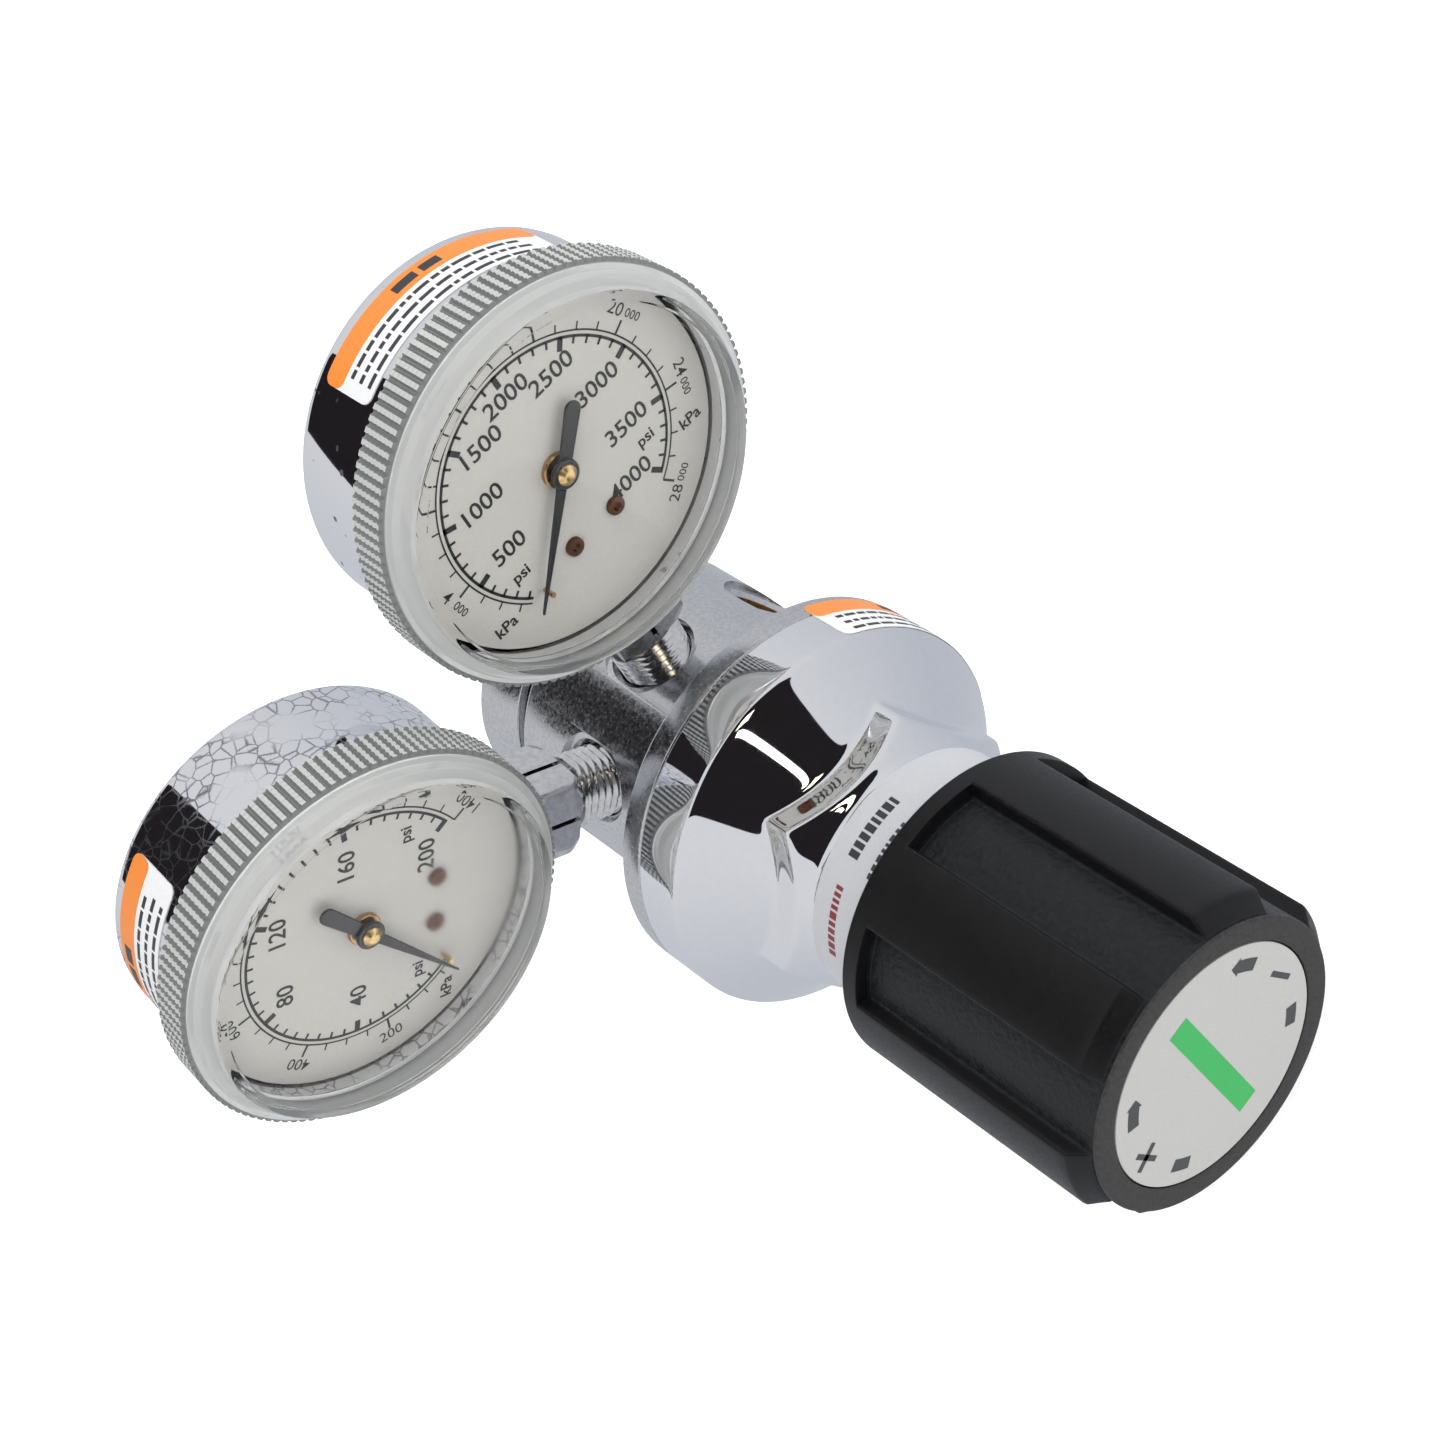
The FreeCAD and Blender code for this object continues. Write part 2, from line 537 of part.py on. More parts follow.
def make_case(prefix, place):
    """Drawn steel cup and its clear screwed-on window."""
    cup = turned_body(prefix + "cup", [
        ("0", "0"), ("case_radius - case_chamfer", "0"), ("case_radius", "case_chamfer"),
        ("case_radius", "case_front"), ("case_radius - case_wall", "case_front"),
        ("case_radius - case_wall", "case_wall + case_chamfer"),
        ("case_radius - case_wall - case_chamfer", "case_wall"), ("0", "case_wall")])
    hole = upright("stem_neck_radius", "-case_radius - 1", "-" + BLOCK_TOP, STEM)
    keep(prefix + "case", cut(cup, hole), place)
    inner = "case_radius + bezel_clearance"
    keep(prefix + "window", turned_body(prefix + "window", [
        (inner, "bezel_rear"), (BEZEL_RADIUS, "bezel_rear"), (BEZEL_RADIUS, "bezel_front"),
        (RIM_RADIUS, "bezel_front + rim_slope"), (RIM_RADIUS, "rim_front"), ("0", "rim_front"),
        ("0", "rim_front - window_thickness"),
        (RIM_RADIUS + " - rim_wall", "rim_front - window_thickness"),
        (RIM_RADIUS + " - rim_wall", "case_front + bezel_clearance"),
        (inner, "case_front + bezel_clearance")]), place)


def stem_block():
    """Square block inside the case that the tube and the shelf join."""
    half = "(block_half_width - block_inset)"
    return block("-block_half_width", "block_half_width", STEM + " - " + half,
                 STEM + " + " + half, "-" + BLOCK_TOP + " - block_height", "-" + BLOCK_TOP)


def make_stem(prefix, place):
    """Brass socket: threaded end, square for a wrench, and the block inside the case."""
    end = PORT_BOTTOM + " - " + GAUGE_OFFSET
    foot = "-" + BLOCK_TOP + " - block_height"
    thread = upright("port_radius", end, "-" + SQUARE_OUTER, STEM)
    half = "stem_flats / 2"
    square = block("-" + half, half, STEM + " - " + half, STEM + " + " + half,
                   "-" + SQUARE_OUTER, "-" + SQUARE_INNER)
    neck = upright("stem_neck_radius", "-" + SQUARE_INNER, foot + " + 1", STEM)
    shelf = block("-block_half_width", "block_half_width", "lower_plate_rear - 5",
                  "lower_plate_rear", foot, "-shelf_top")
    bore = upright("stem_bore", end + " - 1", foot + " + block_height / 2", STEM)
    keep(prefix + "stem", cut(fuse(thread, square, neck, stem_block(), shelf), bore), place)


def make_tube(prefix, place):
    """Flattened pressure tube bent to a C, with the tab at its free end."""
    inner = "tube_radius - tube_half_thickness"
    outer = "tube_radius + tube_half_thickness"
    bend = turned_body(prefix + "tube_bend", [
        (inner, "tube_rear"), (outer, "tube_rear"), (outer, "tube_rear + tube_width"),
        (inner, "tube_rear + tube_width")], "tube_sweep")
    tab = block("tube_radius - tab_length", inner + " + 0.2", "tab_rear",
                "tab_rear + tab_thickness", "-tab_half_width", "tab_half_width")
    to_tip = FreeCAD.Rotation(Vector(0, 1, 0), value("tube_sweep / 2 - tab_lag"))
    tab.Placement = FreeCAD.Placement(Vector(0, 0, 0), to_tip).multiply(tab.Placement)
    joined = fuse(bend, tab)
    swing = FreeCAD.Rotation(Vector(0, 1, 0), value("tube_start + tube_sweep / 2"))
    joined.Placement = FreeCAD.Placement(Vector(0, 0, 0), swing)
    keep(prefix + "bourdon_tube", cut(joined, stem_block()), place)


def make_movement(prefix, place):
    """Two plates on pillars that carry the arbors, and the posts that carry the dial."""
    half, top, bottom = "frame_half_width", "frame_top", "frame_bottom"
    plates = []
    for rear in ("lower_plate_rear", "upper_plate_rear"):
        plates.append(block("-" + half, half, rear, rear + " + plate_sheet", "-" + bottom, top))
    low, high = "lower_plate_rear + plate_sheet", "upper_plate_rear"
    for across, up in (("-pillar_across", "pillar_up"), ("pillar_across", "pillar_up"),
                       ("-pillar_across", "-pillar_down")):
        plates.append(rod("pillar_radius", low, high, across, up))
    dial_rear = "gauge_dial_front - dial_thickness"
    for side in ("-", ""):
        plates.append(rod("post_radius", "upper_plate_rear", dial_rear,
                          side + "dial_screw_across", "-dial_screw_down"))
    holes = []
    for up in ("0", "-(%s) - (%s)" % (PINION_RADIUS, SECTOR_RADIUS)):
        holes.append(rod("arbor_radius + arbor_clearance", "lower_plate_rear",
                         "upper_plate_rear + plate_sheet", "0", up))
    for side in ("-", ""):
        holes.append(rod("dial_screw_radius / 2", dial_rear + " - dial_screw_length", dial_rear,
                         side + "dial_screw_across", "-dial_screw_down"))
    keep(prefix + "movement_frame", cut(fuse(*plates), *holes), place)


def make_sector(prefix, place):
    """Sector gear with its arbor and tail, and the link to the tube's tip."""
    radius = value(SECTOR_RADIUS)
    pivot = -value(PINION_RADIUS) - radius
    edge = toothed_arc(radius, value("sector_teeth"), -2, 12, 90)
    waist = value("arbor_radius") + 1.2
    outline_points = edge + [(-waist, 0.0), (-1.1, -value("tail_length") - 1.1),
                             (1.1, -value("tail_length") - 1.1), (waist, 0.0)]
    placed = [(across, up + pivot) for across, up in outline_points]
    sector = plate(prefix + "sector_plate", placed, "sector_rear", "sector_thickness")
    arbor = rod("arbor_radius", "lower_plate_rear", "upper_plate_rear + plate_sheet", "0",
                "-(%s) - (%s)" % (PINION_RADIUS, SECTOR_RADIUS))
    pin = rod("link_pin_radius", "sector_rear + sector_thickness",
              "link_rear + link_thickness", "0",
              "-(%s) - (%s) - tail_length" % (PINION_RADIUS, SECTOR_RADIUS))
    keep(prefix + "sector_gear", fuse(sector, arbor, pin), place)
    low = pivot - value("tail_length")
    reach = value("tube_radius - tab_length + 1.3")
    tip = math.radians(-value("tube_start + tube_sweep - tab_lag"))
    far = Vector(reach * math.cos(tip), 0, reach * math.sin(tip))
    near = Vector(0, 0, low)
    along = (far - near).normalize()
    side = Vector(-along.z, 0, along.x) * value("link_half_width")
    strip = [near + side, far + side, far - side, near - side]
    shank = plate(prefix + "link_plate", [(point.x, point.z) for point in strip], "link_rear",
                  "link_thickness")
    front = "link_rear + link_thickness"
    ends = [rod("link_eye_radius", "link_rear", front, str(point.x), str(point.z))
            for point in (near, far)]
    eyes = [rod("link_pin_radius + link_clearance", "link_rear - 1", front + " + 1",
                str(point.x), str(point.z)) for point in (near, far)]
    keep(prefix + "link", cut(fuse(shank, *ends), *eyes), place)


def make_pointer_group(prefix, place):
    """Pinion shaft, hairspring, pointer and hub."""
    shaft = rod("arbor_radius", "lower_plate_rear", "pointer_rear + pointer_thickness")
    teeth = toothed_arc(value(PINION_RADIUS), value("pinion_teeth"), 0,
                        int(value("pinion_teeth")) - 1, -90 + 180 / value("pinion_teeth"))
    pinion = plate(prefix + "pinion_teeth", teeth, "sector_rear - 0.4",
                   "sector_thickness + 0.8")
    keep(prefix + "pinion_shaft", fuse(shaft, pinion), place)

    spiral = doc.addObject("Part::Spiral", prefix + "spiral")
    spiral.Growth = value("hair_pitch")
    spiral.Rotations = 4
    spiral.Radius = value("arbor_radius + hair_wire / 2")
    strip = doc.addObject("Part::Plane", prefix + "strip")
    bind(strip, Length="hair_wire", Width="hair_height")
    strip.Placement = FreeCAD.Placement(
        Vector(value("arbor_radius"), 0, value("-hair_height / 2")),
        FreeCAD.Rotation(Vector(1, 0, 0), 90))
    sweep = doc.addObject("Part::Sweep", prefix + "hair")
    sweep.Sections = [strip]
    sweep.Spine = (spiral, [])
    sweep.Solid = True
    sweep.Frenet = False
    sweep.Placement = FreeCAD.Placement(
        Vector(0, value("hair_rear + hair_height / 2"), 0), ALONG_Y)
    keep(prefix + "hairspring", sweep, place)

    half, reach, tail = value("pointer_half_width"), value("pointer_reach"), value("pointer_tail")
    wide = value("pointer_tail_width")
    points = [(-0.2, reach), (0.2, reach), (half, 0.0), (wide, wide - tail), (0.5 * wide, -tail),
              (-0.5 * wide, -tail), (-wide, wide - tail), (-half, 0.0)]
    needle = plate(prefix + "needle", points, "pointer_rear", "pointer_thickness")
    needle.Placement = FreeCAD.Placement(
        needle.Placement.Base, FreeCAD.Rotation(Vector(0, 1, 0), value("rest_angle")))
    eye = rod("arbor_radius", "pointer_rear - 1", "pointer_rear + 2")
    keep(prefix + "pointer", cut(needle, eye), place)
    keep(prefix + "pointer_hub", rod("hub_radius", "pointer_rear + pointer_thickness",
                                     "pointer_rear + pointer_thickness + hub_height"), place)


def make_dial(prefix, place):
    """Dial plate with its two screws and the stop pin that the pointer rests against."""
    rear = "gauge_dial_front - dial_thickness"
    disc = ring(prefix + "dial_blank", "dial_hole", "dial_radius", rear, "gauge_dial_front")
    holes, screws = [], []
    for side in ("-", ""):
        where = (side + "dial_screw_across", "-dial_screw_down")
        holes.append(rod("dial_screw_radius / 2", rear, "gauge_dial_front", *where))
        head = rod("dial_screw_radius", "gauge_dial_front",
                   "gauge_dial_front + dial_screw_height", *where)
        shank = rod("dial_screw_radius / 2", rear + " - dial_screw_length",
                    "gauge_dial_front", *where)
        screws += [head, shank]
    lean = math.radians(value("90 - rest_angle - stop_pin_lag"))
    spot = (str(value("stop_pin_circle") * math.cos(lean)),
            str(value("stop_pin_circle") * math.sin(lean)))
    holes.append(rod("stop_pin_radius", rear, "gauge_dial_front", *spot))
    keep(prefix + "dial_plate", cut(disc, *holes), place)
    keep(prefix + "dial_screws", fuse(*screws), place)
    keep(prefix + "stop_pin", rod("stop_pin_radius", rear,
                                  "gauge_dial_front + stop_pin_height", *spot), place)


def make_gauge(prefix, angle, twist, sticker_angle):
    place = gauge_frame(angle, twist)
    wrapped_label(prefix + "sticker", "case_radius", "sticker_rear",
                  "sticker_rear + sticker_width", "sticker_sweep", sticker_angle, place)
    for step in (make_case, make_stem, make_tube, make_movement, make_sector,
                 make_pointer_group, make_dial):
        step(prefix, place)


make_body()
make_rear_cap()
make_first_stage()
make_second_stage()
make_diaphragm_stack()
make_bonnet()
make_knob_group()
make_labels()
make_gauge("high_", value("high_gauge_angle"), 0, "high_sticker_angle")
make_gauge("low_", value("low_gauge_angle"), value("low_gauge_twist"), "low_sticker_angle")
doc.recompute()

# ---------------------------------------------------------------- checks and export
for item in doc.Objects:
    broken = [state for state in item.State if state in ("Invalid", "Error")]
    if broken:
        raise RuntimeError("%s (%s) is %s" % (item.Name, item.Label, broken))
for item in nodes:
    if item.Shape.isNull() or not item.Shape.isValid() or not item.Shape.Solids:
        raise RuntimeError("%s has no valid shape" % item.Label)

os.makedirs("parts", exist_ok=True)
for item in nodes:
    item.Shape.exportStep(os.path.join("parts", item.Label + ".step"))
    print("%-28s %2d solid(s) %10.1f mm3" % (item.Label, len(item.Shape.Solids), item.Shape.Volume))
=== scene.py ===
"""Looks of a two-gauge pressure regulator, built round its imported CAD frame.

The main axis is Y: a station is a distance forward of the rear cap, at y = -station, and
angles round the axis run from +X towards +Z. A gauge is drawn in a frame of its own, whose
stations count forward from its case back and whose +Z is the top of its dial.
"""

import math
import random

import bpy
import bmesh
from mathutils import Matrix, Vector


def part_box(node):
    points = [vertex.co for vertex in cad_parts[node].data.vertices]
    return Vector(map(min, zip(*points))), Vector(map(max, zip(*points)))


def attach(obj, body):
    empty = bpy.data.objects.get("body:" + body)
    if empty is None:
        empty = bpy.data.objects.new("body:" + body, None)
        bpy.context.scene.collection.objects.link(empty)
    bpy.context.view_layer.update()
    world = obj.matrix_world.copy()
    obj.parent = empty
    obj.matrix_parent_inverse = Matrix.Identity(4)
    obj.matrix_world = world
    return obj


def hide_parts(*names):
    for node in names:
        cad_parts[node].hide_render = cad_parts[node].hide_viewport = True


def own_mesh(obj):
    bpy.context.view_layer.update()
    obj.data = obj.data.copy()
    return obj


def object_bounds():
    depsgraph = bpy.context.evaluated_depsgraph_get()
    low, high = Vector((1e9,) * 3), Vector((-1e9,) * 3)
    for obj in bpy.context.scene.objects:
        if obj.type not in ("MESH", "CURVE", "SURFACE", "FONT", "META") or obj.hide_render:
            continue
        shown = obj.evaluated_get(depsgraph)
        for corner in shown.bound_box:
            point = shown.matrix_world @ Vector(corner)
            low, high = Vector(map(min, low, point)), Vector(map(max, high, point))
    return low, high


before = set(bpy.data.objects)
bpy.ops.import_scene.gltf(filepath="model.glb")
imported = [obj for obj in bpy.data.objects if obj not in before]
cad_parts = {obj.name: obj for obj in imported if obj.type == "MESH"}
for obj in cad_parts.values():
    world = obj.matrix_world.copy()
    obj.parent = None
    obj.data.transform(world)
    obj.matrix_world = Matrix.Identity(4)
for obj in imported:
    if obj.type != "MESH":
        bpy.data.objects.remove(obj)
CAD_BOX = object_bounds()

MM = 0.001
PRINT_LIFT = 0.03        # how far printing stands off what it is printed on, mm
WELD = 1e-5              # points nearer than this are one point, mm
ON_AXIS = 1e-6           # a ring smaller than this is a single point, mm
KPA_PER_PSI = 6.894757

# ---- sizes, mm
BODY_R, FLANGE_R, NECK_R, CAP_R = 26.0, 34.5, 21.6, 25.4
CAP_FRONT, BODY_REAR, FLANGE_REAR, FLANGE_FRONT = 12.6, 14.3, 53.7, 58.5
BAND_FRONT, HEX_FRONT, NECK_FRONT = 67.4, 80.8, 125.0
HEX_FLATS = 46.0
PORT_STATION, PORT_R, PORT_BOTTOM, PORT_FLAT = 34.1, 6.6, 13.2, 24.8
PORT_ANGLES = (0.0, 61.0, 119.0, 180.0)
SPOT_FACE_R, PORT_CHAMFER, CUTTER_TOP = 8.6, 0.9, 40.0
KNOB_REAR, KNOB_FRONT, KNOB_R, KNOB_CORE_R = 99.7, 150.9, 27.3, 24.6
RIB_COUNT, RIB_ANGLE, RIB_PHASE = 6, 30.0, 26.0
DISC_R, DISC_REAR, DISC_FRONT = 20.35, 149.9, 150.85
MARKS_ANGLE = -20.0      # of the minus sign on the knob's disc
GAUGE_OFFSET, DIAL_STATION, DIAL_FRONT = 79.0, 45.5, 22.5
STEM_STATION = PORT_STATION - DIAL_STATION + DIAL_FRONT
CASE_R, CASE_FRONT, BEZEL_R = 31.2, 25.0, 34.1
CLEAR_FACE_R, KNURL_SEAT_R = 30.4, 33.35
STEM_TOP, SQUARE_TOP, SQUARE_END, THREAD_TOP = 24.6, 36.0, 46.0, 47.2
NEEDLE_REAR, NEEDLE_FRONT, REST_ANGLE = 24.0, 24.5, 139.0
PSI_ARC, KPA_ARC, KPA_TICK_R = (20.9, 21.4), (21.9, 22.2), 22.0
GAUGES = {
    "high": {"angle": 61.0, "twist": 0.0, "sticker": 82.5, "zero": 230.5, "span": 278.0},
    "low": {"angle": 119.0, "twist": -5.7, "sticker": 102.0, "zero": 234.0, "span": 278.0},
}


# ---- materials
def material(name, colour, metallic=0.0, roughness=0.4, **more):
    """Principled material whose constant values sit on the shader's own sockets."""
    made = bpy.data.materials.new(name)
    made.use_nodes = True
    shader = made.node_tree.nodes["Principled BSDF"]
    shader.inputs["Base Color"].default_value = (*colour, 1.0)
    shader.inputs["Metallic"].default_value = metallic
    shader.inputs["Roughness"].default_value = roughness
    for socket, number in more.items():
        shader.inputs[socket.replace("_", " ")].default_value = number
    return made


def noise_node(made, scale, detail=3.0, kind="ShaderNodeTexNoise"):
    """Texture node on object coordinates, its scale given in features per metre."""
    tree = made.node_tree
    where = tree.nodes.new("ShaderNodeTexCoord")
    texture = tree.nodes.new(kind)
    texture.inputs["Scale"].default_value = scale
    if "Detail" in texture.inputs:
        texture.inputs["Detail"].default_value = detail
    tree.links.new(where.outputs["Object"], texture.inputs["Vector"])
    return texture


def ramp(made, source, stops):
    """Colour ramp from a grey source; stops are (place, (r, g, b))."""
    tree = made.node_tree
    node = tree.nodes.new("ShaderNodeValToRGB")
    while len(node.color_ramp.elements) < len(stops):
        node.color_ramp.elements.new(0.5)
    for element, (place, colour) in zip(node.color_ramp.elements, stops):
        element.position = place
        element.color = (*colour, 1.0)
    tree.links.new(source, node.inputs["Fac"])
    return node.outputs["Color"]


def paint(made, source, stops):
    """Colour the surface from a grey texture."""
    shader = made.node_tree.nodes["Principled BSDF"]
    made.node_tree.links.new(ramp(made, source, stops), shader.inputs["Base Color"])
    return made


def vary_roughness(made, source, low, high, start=0.3, end=0.7):
    """Spread the roughness between two values with a grey texture."""
    tree = made.node_tree
    node = tree.nodes.new("ShaderNodeMapRange")
    for socket, number in (("From Min", start), ("From Max", end), ("To Min", low),
                           ("To Max", high)):
        node.inputs[socket].default_value = number
    tree.links.new(source, node.inputs["Value"])
    tree.links.new(node.outputs["Result"],
                   tree.nodes["Principled BSDF"].inputs["Roughness"])
    return made


def bump(made, source, strength, distance):
    """Raise the surface with a grey texture; distance in metres."""
    tree = made.node_tree
    node = tree.nodes.new("ShaderNodeBump")
    node.inputs["Strength"].default_value = strength
    node.inputs["Distance"].default_value = distance
    shader = tree.nodes["Principled BSDF"]
    if shader.inputs["Normal"].is_linked:
        tree.links.new(shader.inputs["Normal"].links[0].from_socket, node.inputs["Normal"])
    tree.links.new(source, node.inputs["Height"])
    tree.links.new(node.outputs["Normal"], shader.inputs["Normal"])
    return made


def metal(name, colour, roughness, variation, grain, wave, depth, shade=0.82):
    """Metal with a fine grain in its colour, its roughness and its surface."""
    made = material(name, colour, 1.0, roughness)
    fine = noise_node(made, grain, 4.0).outputs["Fac"]
    dark = tuple(shade * part for part in colour)
    paint(made, fine, [(0.35, dark), (0.65, colour)])
    vary_roughness(made, fine, roughness, roughness + variation)
    broad = noise_node(made, wave, 2.0).outputs["Fac"]
    return bump(made, broad, 1.0, depth)


def clear(name, colour, roughness, transmission, index, fog=None):
    """Clear plastic that passes lamp light; fog is a place in metres and how far it reaches."""
    made = material(name, colour, 0.0, roughness)
    tree = made.node_tree
    shader = tree.nodes["Principled BSDF"]
    shader.inputs["Transmission Weight"].default_value = transmission
    shader.inputs["IOR"].default_value = index
    scuffs = noise_node(made, 900.0, 2.0).outputs["Fac"]
    vary_roughness(made, scuffs, roughness, roughness + 0.05)
    if fog:
        # rough up to about the fog's reach, clear beyond it, with a ragged edge
        place, reach = fog
        where = tree.nodes.new("ShaderNodeTexCoord")
        away = tree.nodes.new("ShaderNodeVectorMath")
        away.operation = "DISTANCE"
        away.inputs[1].default_value = place
        tree.links.new(where.outputs["Object"], away.inputs[0])
        ragged = tree.nodes.new("ShaderNodeMath")
        ragged.operation = "MULTIPLY_ADD"
        cloud = noise_node(made, 90.0, 3.0).outputs["Fac"]
        tree.links.new(cloud, ragged.inputs[0])
        ragged.inputs[1].default_value = 0.8 * reach
        tree.links.new(away.outputs["Value"], ragged.inputs[2])
        vary_roughness(made, ragged.outputs["Value"], 0.24, roughness, 0.95 * reach,
                       1.3 * reach)
    see_through = tree.nodes.new("ShaderNodeBsdfTransparent")
    path = tree.nodes.new("ShaderNodeLightPath")
    mix = tree.nodes.new("ShaderNodeMixShader")
    tree.links.new(path.outputs["Is Shadow Ray"], mix.inputs["Fac"])
    tree.links.new(shader.outputs["BSDF"], mix.inputs[1])
    tree.links.new(see_through.outputs["BSDF"], mix.inputs[2])
    tree.links.new(mix.outputs["Shader"], tree.nodes["Material Output"].inputs["Surface"])
    return made


def printed(name, colour, roughness=0.45):
    """Ink or coated paper with a faint mottle."""
    made = material(name, colour, 0.0, roughness)
    grain = noise_node(made, 2500.0, 3.0).outputs["Fac"]
    return paint(made, grain, [(0.3, tuple(0.93 * part for part in colour)), (0.7, colour)])


def make_body_chrome():
    """Satin plating over a lightly blasted surface."""
    made = metal("satin_chrome", (0.66, 0.67, 0.69), 0.13, 0.16, 1500.0, 90.0, 0.00006)
    specks = noise_node(made, 2600.0, 2.0).outputs["Fac"]
    return bump(made, specks, 0.22, 0.00005)


def make_bright_chrome():
    """Mirror plating with a few fine pits."""
    made = metal("bright_chrome", (0.84, 0.85, 0.88), 0.02, 0.02, 700.0, 45.0, 0.00004,
                 0.98)
    pits = noise_node(made, 420.0, 1.0, "ShaderNodeTexVoronoi").outputs["Distance"]
    return bump(made, ramp(made, pits, [(0.0, (0, 0, 0)), (0.07, (1, 1, 1))]), 0.15, 0.00003)


def make_case_chrome(name, scale, edge):
    """Bright plating with dull stains: spots, or a web of cracks where edge is true."""
    made = metal(name, (0.82, 0.83, 0.86), 0.03, 0.02, 500.0, 60.0, 0.00003, 0.98)
    cells = noise_node(made, scale, 1.0, "ShaderNodeTexVoronoi")
    if edge:
        cells.feature = "DISTANCE_TO_EDGE"
        stops = [(0.0, (1, 1, 1)), (0.06, (0, 0, 0))]
    else:
        stops = [(0.27, (1, 1, 1)), (0.33, (0, 0, 0))]
    stain = ramp(made, cells.outputs["Distance"], stops)
    tree = made.node_tree
    patchy = ramp(made, noise_node(made, 70.0, 2.0).outputs["Fac"],
                  [(0.4, (0, 0, 0)), (0.5, (1, 1, 1))])
    both = tree.nodes.new("ShaderNodeMix")
    both.data_type = "RGBA"
    both.blend_type = "MULTIPLY"
    both.inputs["Factor"].default_value = 1.0
    tree.links.new(stain, both.inputs["A"])
    tree.links.new(patchy, both.inputs["B"])
    mask = both.outputs["Result"]
    vary_roughness(made, mask, 0.035, 0.4, 0.0, 1.0)
    return paint(made, mask, [(0.0, (0.82, 0.83, 0.86)), (1.0, (0.2, 0.21, 0.24))])


def make_knob_black(name, colour, roughness, grain, depth):
    """Moulded black plastic with a grain."""
    made = material(name, colour, 0.0, roughness, Specular_IOR_Level=0.32)
    texture = noise_node(made, grain, 3.0).outputs["Fac"]
    paint(made, texture, [(0.3, tuple(0.5 * part for part in colour)), (0.7, colour)])
    vary_roughness(made, texture, roughness, roughness + 0.1)
    return bump(made, texture, 0.6, depth)


satin_chrome = make_body_chrome()
bright_chrome = make_bright_chrome()
case_chrome = {"high": make_case_chrome("spotted_chrome", 300.0, False),
               "low": make_case_chrome("crackled_chrome", 420.0, True)}
stem_chrome = metal("stem_chrome", (0.72, 0.72, 0.73), 0.10, 0.12, 900.0, 160.0, 0.00005)
knob_smooth = make_knob_black("knob_ribs", (0.005, 0.005, 0.006), 0.36, 1500.0, 0.00001)
# recess floors: the knob's black painted lighter and bluer, a painted sheen for the light on their
# texture
recess_black_painted_sheen = make_knob_black("knob_recess_painted_sheen", (0.011, 0.012, 0.014), 0.4, 1000.0, 0.0004)
# front face: the knob's black painted lighter and warmer, painted light for the light that falls
# on it
front_black_painted_light = make_knob_black("knob_front_painted_light", (0.045, 0.042, 0.041), 0.4, 1200.0, 0.00002)
disc_white = printed("disc_white", (0.47, 0.465, 0.445), 0.25)
disc_ink = printed("disc_ink", (0.045, 0.05, 0.05), 0.3)
disc_green = printed("disc_green", (0.03, 0.42, 0.09), 0.3)
label_silver = printed("label_silver", (0.52, 0.53, 0.55), 0.35)
label_white = printed("label_white", (0.80, 0.80, 0.80), 0.4)
label_orange = printed("label_orange", (0.84, 0.25, 0.035), 0.4)
label_ink = printed("label_ink", (0.035, 0.035, 0.04), 0.5)
label_maroon = printed("label_maroon", (0.22, 0.035, 0.04), 0.5)
dial_paint = printed("dial_paint", (0.53, 0.52, 0.485), 0.5)
dial_ink = printed("dial_ink", (0.009, 0.009, 0.01), 0.5)
pointer_black = printed("pointer_black", (0.013, 0.013, 0.015), 0.35)
HAZE = ((-0.027, -0.052, 0.056), 0.020)      # place in the low-pressure window, and reach, m
WINDOW_LOOK = ((1.0, 1.0, 1.0), 0.0, 1.0, 1.18)
window_clear = {"high": clear("window_clear", *WINDOW_LOOK),
                "low": clear("window_hazed", *WINDOW_LOOK, HAZE)}
rim_clear = clear("rim_clear", (0.58, 0.59, 0.58), 0.1, 0.5, 1.4)
bezel_clear = clear("bezel_clear", (0.66, 0.67, 0.655), 0.12, 0.3, 1.46)
# darker copy of the knurl's clear plastic for its grooves: painted shade in the creases
bezel_groove_painted_shade = clear("bezel_groove_painted_shade", (0.2, 0.205, 0.2), 0.2, 0.2, 1.46)
brass = metal("brass", (0.66, 0.47, 0.22), 0.22, 0.15, 1200.0, 200.0, 0.00003)
bronze = metal("bronze", (0.52, 0.33, 0.17), 0.25, 0.15, 1200.0, 200.0, 0.00003)
dark_bronze = metal("dark_bronze", (0.15, 0.075, 0.05), 0.35, 0.15, 1500.0, 200.0, 0.00003)
steel = metal("steel", (0.52, 0.52, 0.53), 0.25, 0.15, 1500.0, 200.0, 0.00003)
floor_white = printed("floor_white", (0.93, 0.93, 0.93), 0.9)


# ---- meshes
def spread(first, last, step):
    """Evenly spaced numbers from first to last, about a step apart."""
    count = max(1, round(abs(last - first) / step))
    return [first + (last - first) * index / count for index in range(count + 1)]


def around(steps):
    """Angles of a full turn in equal steps."""
    return [360.0 * index / steps for index in range(steps)]


def finish_mesh(bm, name, materials, sharp=35.0, place=None, smooth=True):
    """Turn a bmesh in millimetres into an object in metres, shaded by angle."""
    bmesh.ops.recalc_face_normals(bm, faces=bm.faces)
    mesh = bpy.data.meshes.new(name)
    bm.to_mesh(mesh)
    bm.free()
    if place is not None:
        mesh.transform(place)
    mesh.transform(Matrix.Scale(MM, 4))
    for item in materials if isinstance(materials, (list, tuple)) else [materials]:
        mesh.materials.append(item)
    if smooth:
        mesh.shade_smooth()
        mesh.set_sharp_from_angle(angle=math.radians(sharp))
    made = bpy.data.objects.new(name, mesh)
    bpy.context.scene.collection.objects.link(made)
    return made


